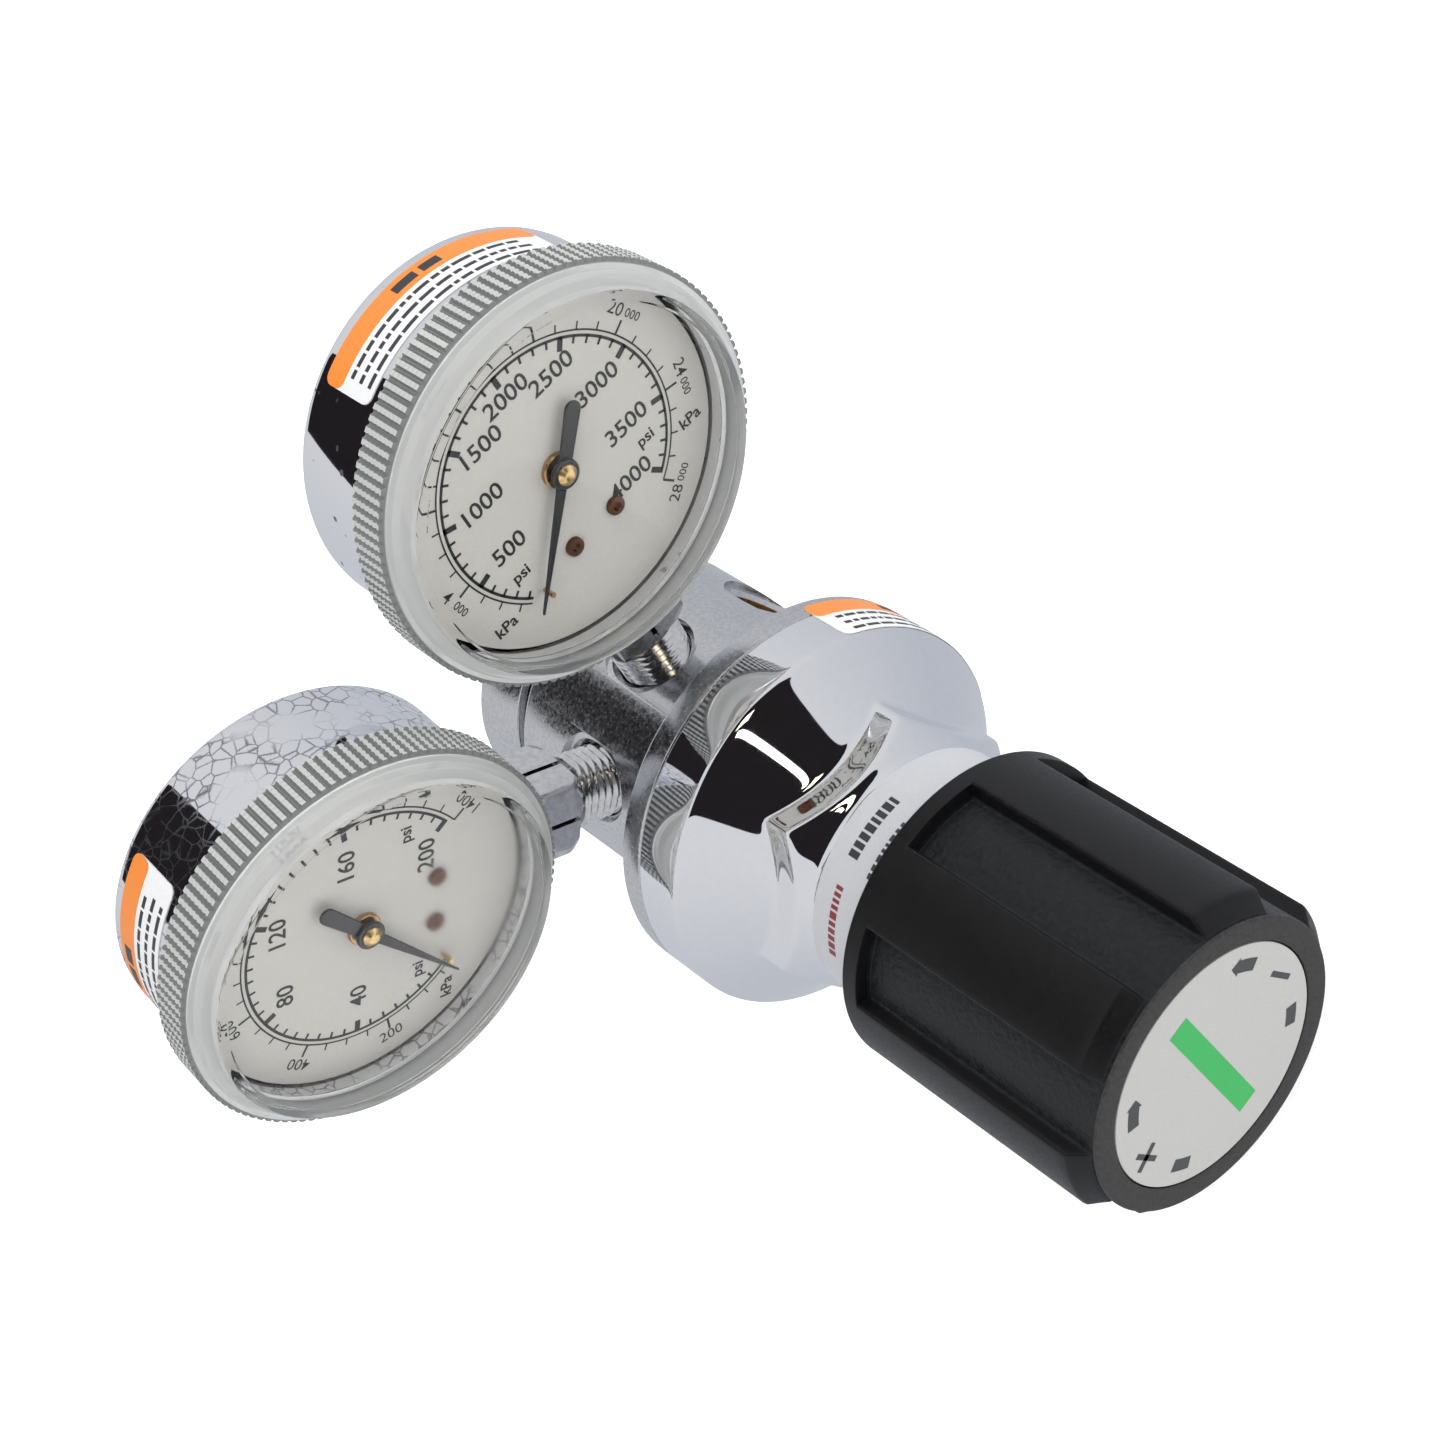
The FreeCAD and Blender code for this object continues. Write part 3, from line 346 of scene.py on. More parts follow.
def rounded(corners, steps=6):
    """Fillet a profile: corners are (radius, station) or (radius, station, fillet)."""
    points = []
    for index, corner in enumerate(corners):
        here = Vector(corner[:2])
        fillet = corner[2] if len(corner) > 2 else 0.0
        if not fillet or index in (0, len(corners) - 1):
            points.append(tuple(here))
            continue
        back = (Vector(corners[index - 1][:2]) - here).normalized()
        ahead = (Vector(corners[index + 1][:2]) - here).normalized()
        half = back.angle(ahead) / 2
        reach = fillet / math.tan(half)
        centre = here + (back + ahead).normalized() * (fillet / math.sin(half))
        start, end = here + back * reach - centre, here + ahead * reach - centre
        for step in range(steps + 1):
            share = step / steps
            points.append(tuple(centre + start.slerp(end, share).normalized() * fillet))
    return points


def sheet_of_rings(bm, rings):
    """Join rings of points, each the same length or a single point, into a closed skin."""
    made = [[bm.verts.new(point) for point in ring] for ring in rings]
    for one, other in zip(made, made[1:]):
        count = max(len(one), len(other))
        for index in range(count):
            after = (index + 1) % count
            face = []
            for vert in (one[index % len(one)], one[after % len(one)],
                         other[after % len(other)], other[index % len(other)]):
                if vert not in face:
                    face.append(vert)
            if len(face) > 2:
                bm.faces.new(face)
    return made


def ring_at(radius, station, angles):
    """One ring of points round the station axis; radius is a number or a list."""
    if not isinstance(radius, (list, tuple)):
        if radius < ON_AXIS:
            return [(0.0, -station, 0.0)]
        radius = [radius] * len(angles)
    return [(size * math.cos(math.radians(turn)), -station, size * math.sin(math.radians(turn)))
            for size, turn in zip(radius, angles)]


def rings_of(profile, angles):
    """Rings round the station axis for a profile of (radius, station) points."""
    return [ring_at(radius, station, angles) for radius, station in profile]


def upright_ring(radius, height, station, angles):
    """One ring of points round an axis along +Z; radius is a number or a list."""
    if not isinstance(radius, (list, tuple)):
        radius = [radius] * len(angles)
    return [(size * math.cos(math.radians(turn)), size * math.sin(math.radians(turn)) - station,
             height) for size, turn in zip(radius, angles)]


def weld(bm):
    """Merge the points that neighbouring rings share."""
    bmesh.ops.remove_doubles(bm, verts=bm.verts, dist=WELD)


def turned(name, profile, finish, steps=160, place=None, sharp=35.0):
    """Closed turned piece from a profile of (radius, station) points; a loop if off axis."""
    angles = around(steps)
    bm = bmesh.new()
    rings = rings_of(profile, angles)
    if profile[0][0] > ON_AXIS and profile[0] != profile[-1]:
        rings.append(rings[0])
    sheet_of_rings(bm, rings)
    weld(bm)
    return finish_mesh(bm, name, finish, sharp, place)


def soft_max(one, other, width):
    """Larger of two numbers, blended where they are near each other."""
    return (one + other + math.hypot(one - other, width)) / 2


def soft_min(one, other, width):
    """Smaller of two numbers, blended where they are near each other."""
    return (one + other - math.hypot(one - other, width)) / 2


def polygon_radius(turn, flats, count, width, flat_at=0.0):
    """Radius of a regular prism's outline with softened corners; a flat faces flat_at."""
    step = 360.0 / count
    off = (turn - flat_at + step / 2) % step - step / 2
    near = flats / 2 / math.cos(math.radians(off))
    beyond = flats / 2 / math.cos(math.radians(step - abs(off)))
    return soft_min(near, beyond, width)


def subtract(made, cutters):
    """Cut closed pieces out of a piece and drop them."""
    for cutter in cutters:
        tool = made.modifiers.new("cut", "BOOLEAN")
        tool.object = cutter
        tool.solver = "EXACT"
        apply_modifiers(made)
        bpy.data.objects.remove(cutter)


def apply_modifiers(made):
    """Replace a piece's mesh with the mesh that its modifiers give."""
    graph = bpy.context.evaluated_depsgraph_get()
    graph.update()
    final = bpy.data.meshes.new_from_object(made.evaluated_get(graph))
    made.modifiers.clear()
    made.data = final


def spun(angle):
    """Matrix that turns a piece drawn along +Z to an angle round the main axis."""
    return Matrix.Rotation(math.radians(90 - angle), 4, "Y")


def gauge_place(key):
    """Matrix from a gauge's own frame, in (x, -station, z), to the shared frame."""
    row = GAUGES[key]
    turn = math.radians(row["angle"])
    reach = Vector((GAUGE_OFFSET * math.cos(turn), -PORT_STATION, GAUGE_OFFSET * math.sin(turn)))
    return (Matrix.Translation(reach)
            @ spun(row["angle"])
            @ Matrix.Rotation(math.radians(row["twist"]), 4, "Z")
            @ Matrix.Translation(Vector((0, STEM_STATION, 0))))


def flat_piece(bm, outline, rear, front):
    """Solid sheet with an outline of (x, z) points between two stations."""
    rings = [[(x, -station, z) for x, z in outline] for station in (rear, front)]
    made = sheet_of_rings(bm, rings)
    bm.faces.new(made[0])
    bm.faces.new(made[1])


def patch(bm, radius, thickness, rear, front, start, end, corner=0.0):
    """Thin solid wrapped on a round wall between two stations and two angles."""
    columns = spread(start, end, 1.5)
    if corner:
        lead = math.degrees(corner / radius)
        steps = 5
        extra = [lead * (1 - math.cos(math.pi / 2 * step / steps))
                 for step in range(1, steps + 1)]
        sign = 1 if end > start else -1
        columns = sorted(set(columns + [start + sign * one for one in extra]
                             + [end - sign * one for one in extra]), reverse=end < start)
    loops = []
    for turn in columns:
        gap = min(abs(turn - start), abs(end - turn)) * math.radians(1) * radius
        inset = 0.0
        if corner and gap < corner:
            inset = corner - math.sqrt(max(0.0, corner ** 2 - (corner - gap) ** 2))
        low, high = rear + inset, front - inset
        c, s = math.cos(math.radians(turn)), math.sin(math.radians(turn))
        loops.append([(size * c, -station, size * s) for size, station in (
            (radius, low), (radius, high), (radius + thickness, high),
            (radius + thickness, low))])
    made = sheet_of_rings(bm, loops)
    bm.faces.new(made[0])
    bm.faces.new(made[-1])


def words(bm, radius, station, height, start, end, seed, word=(2.2, 5.5), gap=0.9):
    """A line of plain bars in place of a line of print, wrapped on a round wall."""
    draw = random.Random(seed)
    at, last = 0.0, abs(end - start) * math.radians(1) * radius
    sign = 1 if end > start else -1
    while at < last - word[0]:
        long = min(draw.uniform(*word), last - at)
        one = start + sign * math.degrees(at / radius)
        two = start + sign * math.degrees((at + long) / radius)
        patch(bm, radius, PRINT_LIFT, station - height / 2, station + height / 2, one, two)
        at += long + gap


def letters(bm, text, size, x, z, turn, station, weight=0.0):
    """Add flat characters, read from the front, centred on a place in a dial's plane."""
    curve = bpy.data.curves.new("letters", "FONT")
    curve.body = text
    curve.size = size
    curve.align_x = "CENTER"
    curve.align_y = "CENTER"
    curve.offset = weight
    curve.resolution_u = 3
    holder = bpy.data.objects.new("letters", curve)
    bpy.context.scene.collection.objects.link(holder)
    graph = bpy.context.evaluated_depsgraph_get()
    mesh = bpy.data.meshes.new_from_object(holder.evaluated_get(graph))
    mesh.transform(Matrix.Translation(Vector((x, -station, z)))
                   @ Matrix.Rotation(math.radians(-turn), 4, "Y")
                   @ Matrix.Rotation(math.pi / 2, 4, "X"))
    bm.from_mesh(mesh)
    bpy.data.objects.remove(holder)
    bpy.data.meshes.remove(mesh)
    bpy.data.curves.remove(curve)


def arc_band(bm, inner, outer, start, end, station):
    """Flat ring sector facing forward, between two angles."""
    turns = [math.radians(one) for one in spread(start, end, 2.0)]
    low, high = ([bm.verts.new((reach * math.cos(t), -station, reach * math.sin(t)))
                  for t in turns] for reach in (inner, outer))
    for index in range(len(turns) - 1):
        bm.faces.new((low[index], low[index + 1], high[index + 1], high[index]))


def tick(bm, inner, outer, width, turn, station):
    """Flat mark along a radius, facing forward."""
    t = math.radians(turn)
    along, side = Vector((math.cos(t), 0, math.sin(t))), Vector((-math.sin(t), 0, math.cos(t)))
    base = Vector((0, -station, 0))
    bm.faces.new([bm.verts.new(base + along * reach + side * width * half)
                  for reach, half in ((inner, -0.5), (outer, -0.5), (outer, 0.5), (inner, 0.5))])


def belongs(made, body, slot, *nodes):
    """Say what a piece rides on and what it stands for; slot is not used."""
    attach(made, body)
    if nodes:
        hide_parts(*nodes)
    return made


# ---- regulator body and cap
def make_body():
    """Body with four spot-faced ports, rear cap, and the brass lining of the open port."""
    made = turned("body_forging", rounded([
        (0, 38.0), (8.5, 38.0), (8.5, 45.0), (9.5, 45.0), (9.5, 50.0), (22.0, 50.0),
        (22.0, 65.5), (29.0, 65.5), (29.0, FLANGE_FRONT), (FLANGE_R, FLANGE_FRONT, 0.5),
        (FLANGE_R, FLANGE_REAR, 0.7), (BODY_R, FLANGE_REAR, 1.6), (BODY_R, BODY_REAR, 0.7),
        (23.6, BODY_REAR, 0.4), (23.6, CAP_FRONT), (18.0, CAP_FRONT), (18.0, 18.0),
        (8.0, 18.0), (8.0, 24.0), (6.5, 24.0), (6.5, 36.0), (0, 36.0)]), satin_chrome, 240)
    cutters = []
    for angle in PORT_ANGLES:
        bore = bmesh.new()
        walls = [upright_ring(radius, height, PORT_STATION, around(64)) for radius, height in (
            (PORT_R, PORT_BOTTOM), (PORT_R, PORT_FLAT - PORT_CHAMFER),
            (PORT_R + PORT_CHAMFER, PORT_FLAT), (PORT_R + PORT_CHAMFER, CUTTER_TOP))]
        sheet_of_rings(bore, [[(0, -PORT_STATION, PORT_BOTTOM)], *walls,
                              [(0, -PORT_STATION, CUTTER_TOP)]])
        land = bmesh.new()
        rings = [upright_ring(SPOT_FACE_R, height, PORT_STATION, around(96))
                 for height in (PORT_FLAT, CUTTER_TOP)]
        for ring in sheet_of_rings(land, rings):
            land.faces.new(ring)
        for tool in (land, bore):
            cutters.append(finish_mesh(tool, "cutter", satin_chrome, place=spun(angle)))
    subtract(made, cutters)
    made.data.set_sharp_from_angle(angle=math.radians(32))
    belongs(made, "regulator", "chrome_body", "body")
    made = turned("rear_cap_shell", rounded([
        (0, 0), (CAP_R, 0, 1.4), (CAP_R, CAP_FRONT - 0.6, 0.5), (17.0, CAP_FRONT - 0.6),
        (17.0, 3.0), (0, 3.0)]), satin_chrome, 200)
    belongs(made, "regulator", "chrome_body", "rear_cap")
    lining = bmesh.new()
    outer, inner = PORT_R - 0.02, PORT_R - 0.7
    sheet_of_rings(lining, [upright_ring(radius, height, PORT_STATION, around(64))
                            for radius, height in rounded([
                                (outer, 24.0), (outer, 14.0), (inner, 14.0), (inner, 24.0),
                                (outer, 24.0)])])
    weld(lining)
    made = finish_mesh(lining, "inlet_thread", brass, place=spun(0.0))
    belongs(made, "regulator", "brass")


# ---- bonnet
def bonnet_radius(turn, station):
    """Outside of the bonnet: band, cone, wrench hexagon with a turned front, and neck."""
    cone = FLANGE_R - (station - BAND_FRONT)
    shell = soft_max(soft_min(FLANGE_R, cone, 0.35), NECK_R, 0.8)
    flats = polygon_radius(turn, HEX_FLATS, 6, 0.5)
    front = HEX_FLATS / math.sqrt(3) - (station - HEX_FRONT)
    return soft_max(shell, soft_min(flats, front, 0.5), 0.45)


def make_bonnet():
    """Hollow bonnet, its outside and its bore in one closed skin."""
    angles = around(432)
    stations = ([FLANGE_FRONT + 0.3] + spread(60.0, 65.0, 2.5) + spread(65.6, 86.0, 0.3)
                + spread(87.0, NECK_FRONT - 0.6, 9.0))
    bm = bmesh.new()
    rings = rings_of([(29.0, FLANGE_FRONT), (FLANGE_R - 0.3, FLANGE_FRONT)], angles)
    for station in stations:
        rings.append(ring_at([bonnet_radius(turn, station) for turn in angles], station, angles))
    rings += rings_of(rounded([(NECK_R, 124.0), (NECK_R, NECK_FRONT, 0.5),
                               (6.0, NECK_FRONT)])[1:], angles)
    rings += rings_of([(6.0, 120.0), (16.0, 120.0), (16.0, 75.0), (21.0, 75.0), (21.0, 67.3),
                       (29.0, 67.3)], angles)
    rings.append(rings[0])
    sheet_of_rings(bm, rings)
    weld(bm)
    belongs(finish_mesh(bm, "bonnet_shell", bright_chrome, 40.0), "regulator", "chrome_bonnet",
            "bonnet")


# ---- knob
def make_knob():
    """Knob with tapered ribs between textured recesses, a rear rim and a front face."""
    wall = [(1.7, 0.0), (1.2, 0.012), (0.8, 0.05), (0.55, 0.14), (0.4, 0.28), (0.12, 0.70),
            (0.0, 0.84), (-0.22, 0.93), (-0.5, 0.982), (-0.95, 1.0)]
    columns = []
    for number in range(RIB_COUNT):
        middle = RIB_PHASE + number * 360.0 / RIB_COUNT
        half = RIB_ANGLE / 2
        columns += [(middle - half - off, share) for off, share in wall]
        columns += [(middle + off, 1.0) for off in spread(-half + 2.6, half - 2.6, 2.5)]
        columns += [(middle + half + off, share) for off, share in reversed(wall)]
        floor = 360.0 / RIB_COUNT - half
        columns += [(middle + off, 0.0) for off in spread(half + 3.8, floor - 3.8, 2.5)]
    angles = [turn for turn, share in columns]
    rim, taper = KNOB_REAR + 3.2, KNOB_FRONT - 3.5

    def outer(share, station):
        top = KNOB_R
        if station > taper:
            top = KNOB_R - (station - taper) * (KNOB_R - KNOB_CORE_R) / 3.1
        top = soft_min(KNOB_R, top, 0.12) if station > taper - 0.5 else KNOB_R
        top = max(top, KNOB_CORE_R)
        step = min(1.0, max(0.0, (rim + 0.45 - station) / 0.5))
        step = step * step * (3 - 2 * step)
        return KNOB_CORE_R + (top - KNOB_CORE_R) * max(share, step)

    front = rings_of(rounded([
        (0, DISC_REAR), (DISC_R + 0.25, DISC_REAR), (DISC_R + 0.25, KNOB_FRONT, 0.2),
        (KNOB_CORE_R, KNOB_FRONT, 0.35), (KNOB_CORE_R, 150.2)]), angles)
    stations = (spread(150.1, taper - 0.5, 0.3) + spread(taper - 2, rim + 2.0, 6.0)
                + spread(rim + 0.9, rim - 0.5, 0.1) + [rim - 1.2, KNOB_REAR + 0.6])
    sides = [ring_at([outer(share, station) for turn, share in columns], station, angles)
             for station in stations]
    rear = rings_of(rounded([
        (KNOB_R, KNOB_REAR + 0.6), (KNOB_R, KNOB_REAR, 0.4), (22.8, KNOB_REAR, 0.3),
        (22.8, 142.9), (12.0, 142.9), (12.0, 135.0), (0, 135.0)])[1:], angles)
    bm = bmesh.new()
    sheet_of_rings(bm, front + sides + rear)
    weld(bm)
    for face in bm.faces:
        middle = face.calc_center_median()
        size, station = math.hypot(middle.x, middle.z), -middle.y
        # the front face takes the lighter black: painted light
        if station > KNOB_FRONT - 0.4:
            face.material_index = 2
        elif size < KNOB_CORE_R + 0.4 and rim < station and size > 24:
            # recess floors take the lighter black: painted sheen
            face.material_index = 1
    made = finish_mesh(bm, "knob_grip", [knob_smooth, recess_black_painted_sheen, front_black_painted_light], 40.0)
    belongs(made, "knob", "knob_black", "knob")


def make_knob_disc():
    """White disc with two turning arrows, a minus, a plus and a plain green bar."""
    made = turned("knob_badge", rounded([
        (0, DISC_REAR), (DISC_R, DISC_REAR), (DISC_R, DISC_FRONT, 0.15), (0, DISC_FRONT)]),
        disc_white, 128)
    belongs(made, "knob", "disc_white", "knob_disc")
    station = DISC_FRONT + PRINT_LIFT
    ink = bmesh.new()
    for facing, sign in ((MARKS_ANGLE, 1), (MARKS_ANGLE + 180.0, -1)):
        for side in (1, -1):
            near, far = facing + side * 28.0, facing + side * 41.0
            arc_band(ink, 15.7, 17.9, near, far, station)
            if side * sign > 0:
                arrow = [(15.2, far), (18.4, far), (16.8, far + side * 5.5)]
                ink.faces.new([ink.verts.new((r * math.cos(math.radians(t)), -station,
                                              r * math.sin(math.radians(t))))
                               for r, t in arrow])
        x, z = 16.6 * math.cos(math.radians(facing)), 16.6 * math.sin(math.radians(facing))
        for width, height in ((5.0, 1.0),) if sign > 0 else ((5.0, 1.0), (1.0, 5.0)):
            ink.faces.new([ink.verts.new((x + height / 2 * a, -station, z + width / 2 * b))
                           for a, b in ((-1, -1), (1, -1), (1, 1), (-1, 1))])
    belongs(finish_mesh(ink, "knob_badge_marks", disc_ink, smooth=False), "knob", "disc_white")
    green = bmesh.new()
    tick(green, -14.5, 14.5, 4.0, MARKS_ANGLE + 90.0, station)
    belongs(finish_mesh(green, "knob_badge_bar", disc_green, smooth=False), "knob",
            "disc_white")


# ---- labels
def make_labels():
    """Label round the bonnet's neck, with bars for its print, and the bonnet's sticker."""
    label = bmesh.new()
    angles = around(160)
    sheet_of_rings(label, rings_of([
        (NECK_R, 86.6), (NECK_R + 0.15, 86.6), (NECK_R + 0.15, 123.0), (NECK_R, 123.0),
        (NECK_R, 86.6)], angles))
    weld(label)
    belongs(finish_mesh(label, "neck_wrap", label_silver), "regulator", "label_paper",
            "neck_label")
    for name, ink, lines in (
            ("neck_wrap_marks_red", label_maroon, ((91.0, 1.5, 133, 98), (96.2, 1.5, 133, 100))),
            ("neck_wrap_marks_dark", label_ink, ((91.0, 2.1, 86, 56), (96.2, 2.1, 90, 62)))):
        bm = bmesh.new()
        for number, (station, height, start, end) in enumerate(lines):
            words(bm, NECK_R + 0.15, station, height, start, end, 7 * number + len(name),
                  (0.5, 1.3), 0.45)
        belongs(finish_mesh(bm, name, ink), "regulator", "label_paper")
    make_sticker("bonnet_band", "bonnet_sticker", FLANGE_R, FLANGE_FRONT - 2.8, 29.0, -41.0,
                 None)


def make_sticker(name, node, radius, rear, start, end, place):
    """Wrapped sticker: an orange strip along its rear edge, and plain lines for print."""
    width, strip = 11.5, 4.3
    bm = bmesh.new()
    patch(bm, radius, 0.13, rear, rear + width, start, end, 1.6)
    belongs(finish_mesh(bm, name + "_sticker", label_white, place=place), "regulator",
            "label_paper", node)
    bm = bmesh.new()
    patch(bm, radius + 0.1, 0.04, rear + 0.02, rear + strip, start, end, 1.5)
    belongs(finish_mesh(bm, name + "_sticker_strip", label_orange, place=place), "regulator",
            "label_paper")
    bm = bmesh.new()
    lead = 4.5 if end > start else -4.5
    for number, station in enumerate((5.7, 7.9, 10.1)):
        words(bm, radius + 0.13, rear + station, 0.8, start + lead, end - lead * 1.6, number + 3,
              (0.8, 3.4), 0.5)
    middle = (start + end) / 2
    words(bm, radius + 0.14, rear + strip / 2, 1.9, middle - 1.8 * lead, middle + 1.8 * lead, 11,
          (3.0, 6.0), 1.0)
    belongs(finish_mesh(bm, name + "_sticker_marks", label_ink, place=place), "regulator",
            "label_paper")


# ---- gauges
def make_case(key, place):
    """Open cup of a gauge, rounded at its back."""
    made = turned(key + "_case_shell", rounded([
        (0, 0), (CASE_R, 0, 2.4), (CASE_R, CASE_FRONT, 0.3), (CASE_R - 1.2, CASE_FRONT),
        (CASE_R - 1.2, 1.2, 2.0), (0, 1.2)]), case_chrome[key], 220, place)
    belongs(made, "regulator", "case_chrome", key + "_case")


def make_window(key, place):
    """Clear screwed-on window: flat face, stepped smooth rim and a knurled band."""
    made = turned(key + "_lens", rounded([
        (0, 31.0), (28.6, 31.0, 0.2), (28.9, 31.2, 0.2), (30.5, 31.2, 0.7), (30.6, 29.6, 0.3),
        (32.0, 28.9, 0.5), (32.4, 27.6, 0.3), (33.3, 27.3, 0.3), (33.3, 19.4), (31.35, 19.4),
        (31.35, 25.2), (30.0, 25.2), (30.0, 29.2, 0.4), (0, 29.2)]),
        [window_clear[key], rim_clear], 200, place)
    for face in made.data.polygons:
        middle = place.inverted() @ (face.center / MM)
        if math.hypot(middle.x, middle.z) > CLEAR_FACE_R:
            face.material_index = 1
    belongs(made, "regulator", "clear_plastic", key + "_window")
    count, rows, depth = 120, 7, 0.6
    shares = [(0.0, 0.0), (0.14, 0.0), (0.34, 1.0), (0.8, 1.0)]
    step, pitch, rear = 360.0 / count, 1.07, 19.3
    columns = [((number + part) * step, high) for number in range(count)
               for part, high in shares]
    angles = [turn for turn, high in columns]
    rings = [ring_at(KNURL_SEAT_R, rear, angles)]
    for row in range(rows):
        for part, high in shares:
            station = rear + 0.1 + (row + part) * pitch
            rings.append(ring_at([BEZEL_R - depth + depth * side * (0.6 + 0.4 * high)
                                  for turn, side in columns], station, angles))
    end = rear + 0.1 + rows * pitch
    rings += [ring_at(BEZEL_R - depth, end, angles),
              ring_at(KNURL_SEAT_R, end + 0.15, angles)]
    rings.append(rings[0])
    bm = bmesh.new()
    sheet_of_rings(bm, rings)
    weld(bm)
    # faces low in the knurl take the darker clear plastic: painted shade in the grooves
    for face in bm.faces:
        reach = [math.hypot(vert.co.x, vert.co.z) for vert in face.verts]
        if sum(reach) / len(reach) < BEZEL_R - 0.45 * depth:
            face.material_index = 1
    made = finish_mesh(bm, key + "_bezel_knurl", [bezel_clear, bezel_groove_painted_shade], 25.0, place)
    belongs(made, "regulator", "clear_plastic")


def stem_radius(turn, reach):
    """Outside of a stem at a distance from the dial's axis: neck, square, thread."""
    if reach < SQUARE_TOP:
        return 7.0
    if reach < SQUARE_END:
        limit = 8.3 + min(reach - SQUARE_TOP, SQUARE_END - reach)
        return soft_min(polygon_radius(turn, 14.0, 4, 0.4), limit, 0.2)
    if reach < THREAD_TOP:
        return 5.6
    pitch = 1.41
    phase = ((reach / pitch) - turn / 360.0) % 1.0
    return 5.85 + 0.75 * (1 - abs(2 * phase - 1)) - 0.03 * (reach - THREAD_TOP)


def make_stem(key, place):
    """Stem with a wrench square and a thread, and the block that holds the pressure tube."""
    reaches = ([STEM_TOP, 35.9, SQUARE_TOP] + spread(36.1, 45.9, 0.5)
               + [SQUARE_END, 46.05, 47.15]
               + spread(THREAD_TOP, GAUGE_OFFSET - PORT_BOTTOM, 0.2))
    angles = around(96)
    bm = bmesh.new()
    rings = [[(0, -STEM_STATION, -STEM_TOP)]]
    for reach in reaches:
        rings.append(upright_ring([stem_radius(turn, reach) for turn in angles], -reach,
                                  STEM_STATION, angles))
    rings.append([(0, -STEM_STATION, -reaches[-1])])
    sheet_of_rings(bm, rings)
    flat_piece(bm, [(-7, -25.5), (7, -25.5), (7, -20.5), (-7, -20.5)], STEM_STATION - 6,
               STEM_STATION + 6)
    flat_piece(bm, [(-7, -20.4), (7, -20.4), (7, -4), (-7, -4)], 4.0, 9.0)
    made = finish_mesh(bm, key + "_socket", stem_chrome, 30.0, place)
    belongs(made, "regulator", "chrome_brass", key + "_stem")


def make_pointer(key, place):
    """Tapered needle with a round tail, a black ring, a domed brass centre and a bush."""
    half_tail, reach, tail = 1.45, 23.4, 11.6
    outline = [(-0.16, reach), (0.16, reach), (0.95, 1.6), (1.1, 0.0), (1.2, -2.0)]
    for turn in spread(0.0, -180.0, 15.0):
        outline.append((half_tail * math.cos(math.radians(turn)),
                        half_tail * math.sin(math.radians(turn)) - tail + half_tail))
    outline += [(-1.2, -2.0), (-1.1, 0.0), (-0.95, 1.6)]
    bm = bmesh.new()
    flat_piece(bm, outline, NEEDLE_REAR, NEEDLE_FRONT)
    spin = place @ Matrix.Rotation(math.radians(-REST_ANGLE), 4, "Y")
    made = finish_mesh(bm, key + "_needle", pointer_black, place=spin)
    bevel = made.modifiers.new("edge", "BEVEL")
    bevel.width, bevel.segments = 0.12 * MM, 2
    apply_modifiers(made)
    belongs(made, key + "_pointer", "pointer_black", key + "_pointer")
    made = turned(key + "_needle_boss", rounded([
        (0, 24.4), (2.5, 24.4), (2.5, 25.1, 0.25), (1.8, 25.1), (1.8, 24.6), (0, 24.6)]),
        pointer_black, 64, place)
    belongs(made, key + "_pointer", "pointer_black")
    made = turned(key + "_needle_cap", rounded([
        (0, 24.5), (1.75, 24.5), (1.75, 25.3, 0.3), (0.9, 26.0, 0.8), (0, 26.1)]), brass, 64,
        place)
    belongs(made, key + "_pointer", "brass", key + "_pointer_hub")
    made = turned(key + "_dial_bush", rounded([
        (0.9, DIAL_FRONT), (2.9, DIAL_FRONT), (2.9, DIAL_FRONT + 0.9, 0.3),
        (0.9, DIAL_FRONT + 0.9)]), bronze, 64, place)
    belongs(made, "regulator", "bronze_tube")


def make_dial_screws(key, place):
    """Two countersunk dial screws with a dimple in each head."""
    bm = bmesh.new()
    angles = around(40)
    for side in (-4.6, 4.6):
        rings = []
        for radius, station in rounded([(0, 18.7), (0.8, 18.7), (0.8, DIAL_FRONT),
                                        (1.6, DIAL_FRONT), (1.6, DIAL_FRONT + 0.8, 0.3),
                                        (0.75, DIAL_FRONT + 0.8), (0.45, DIAL_FRONT + 0.3),
                                        (0, DIAL_FRONT + 0.2)]):
            rings.append([(x + side, y, z - 13.6) for x, y, z in
                          ring_at(radius, station, angles)])
        sheet_of_rings(bm, rings)
    made = finish_mesh(bm, key + "_dial_rivets", dark_bronze, 30.0, place)
    belongs(made, "regulator", "bronzed_steel", key + "_dial_screws")


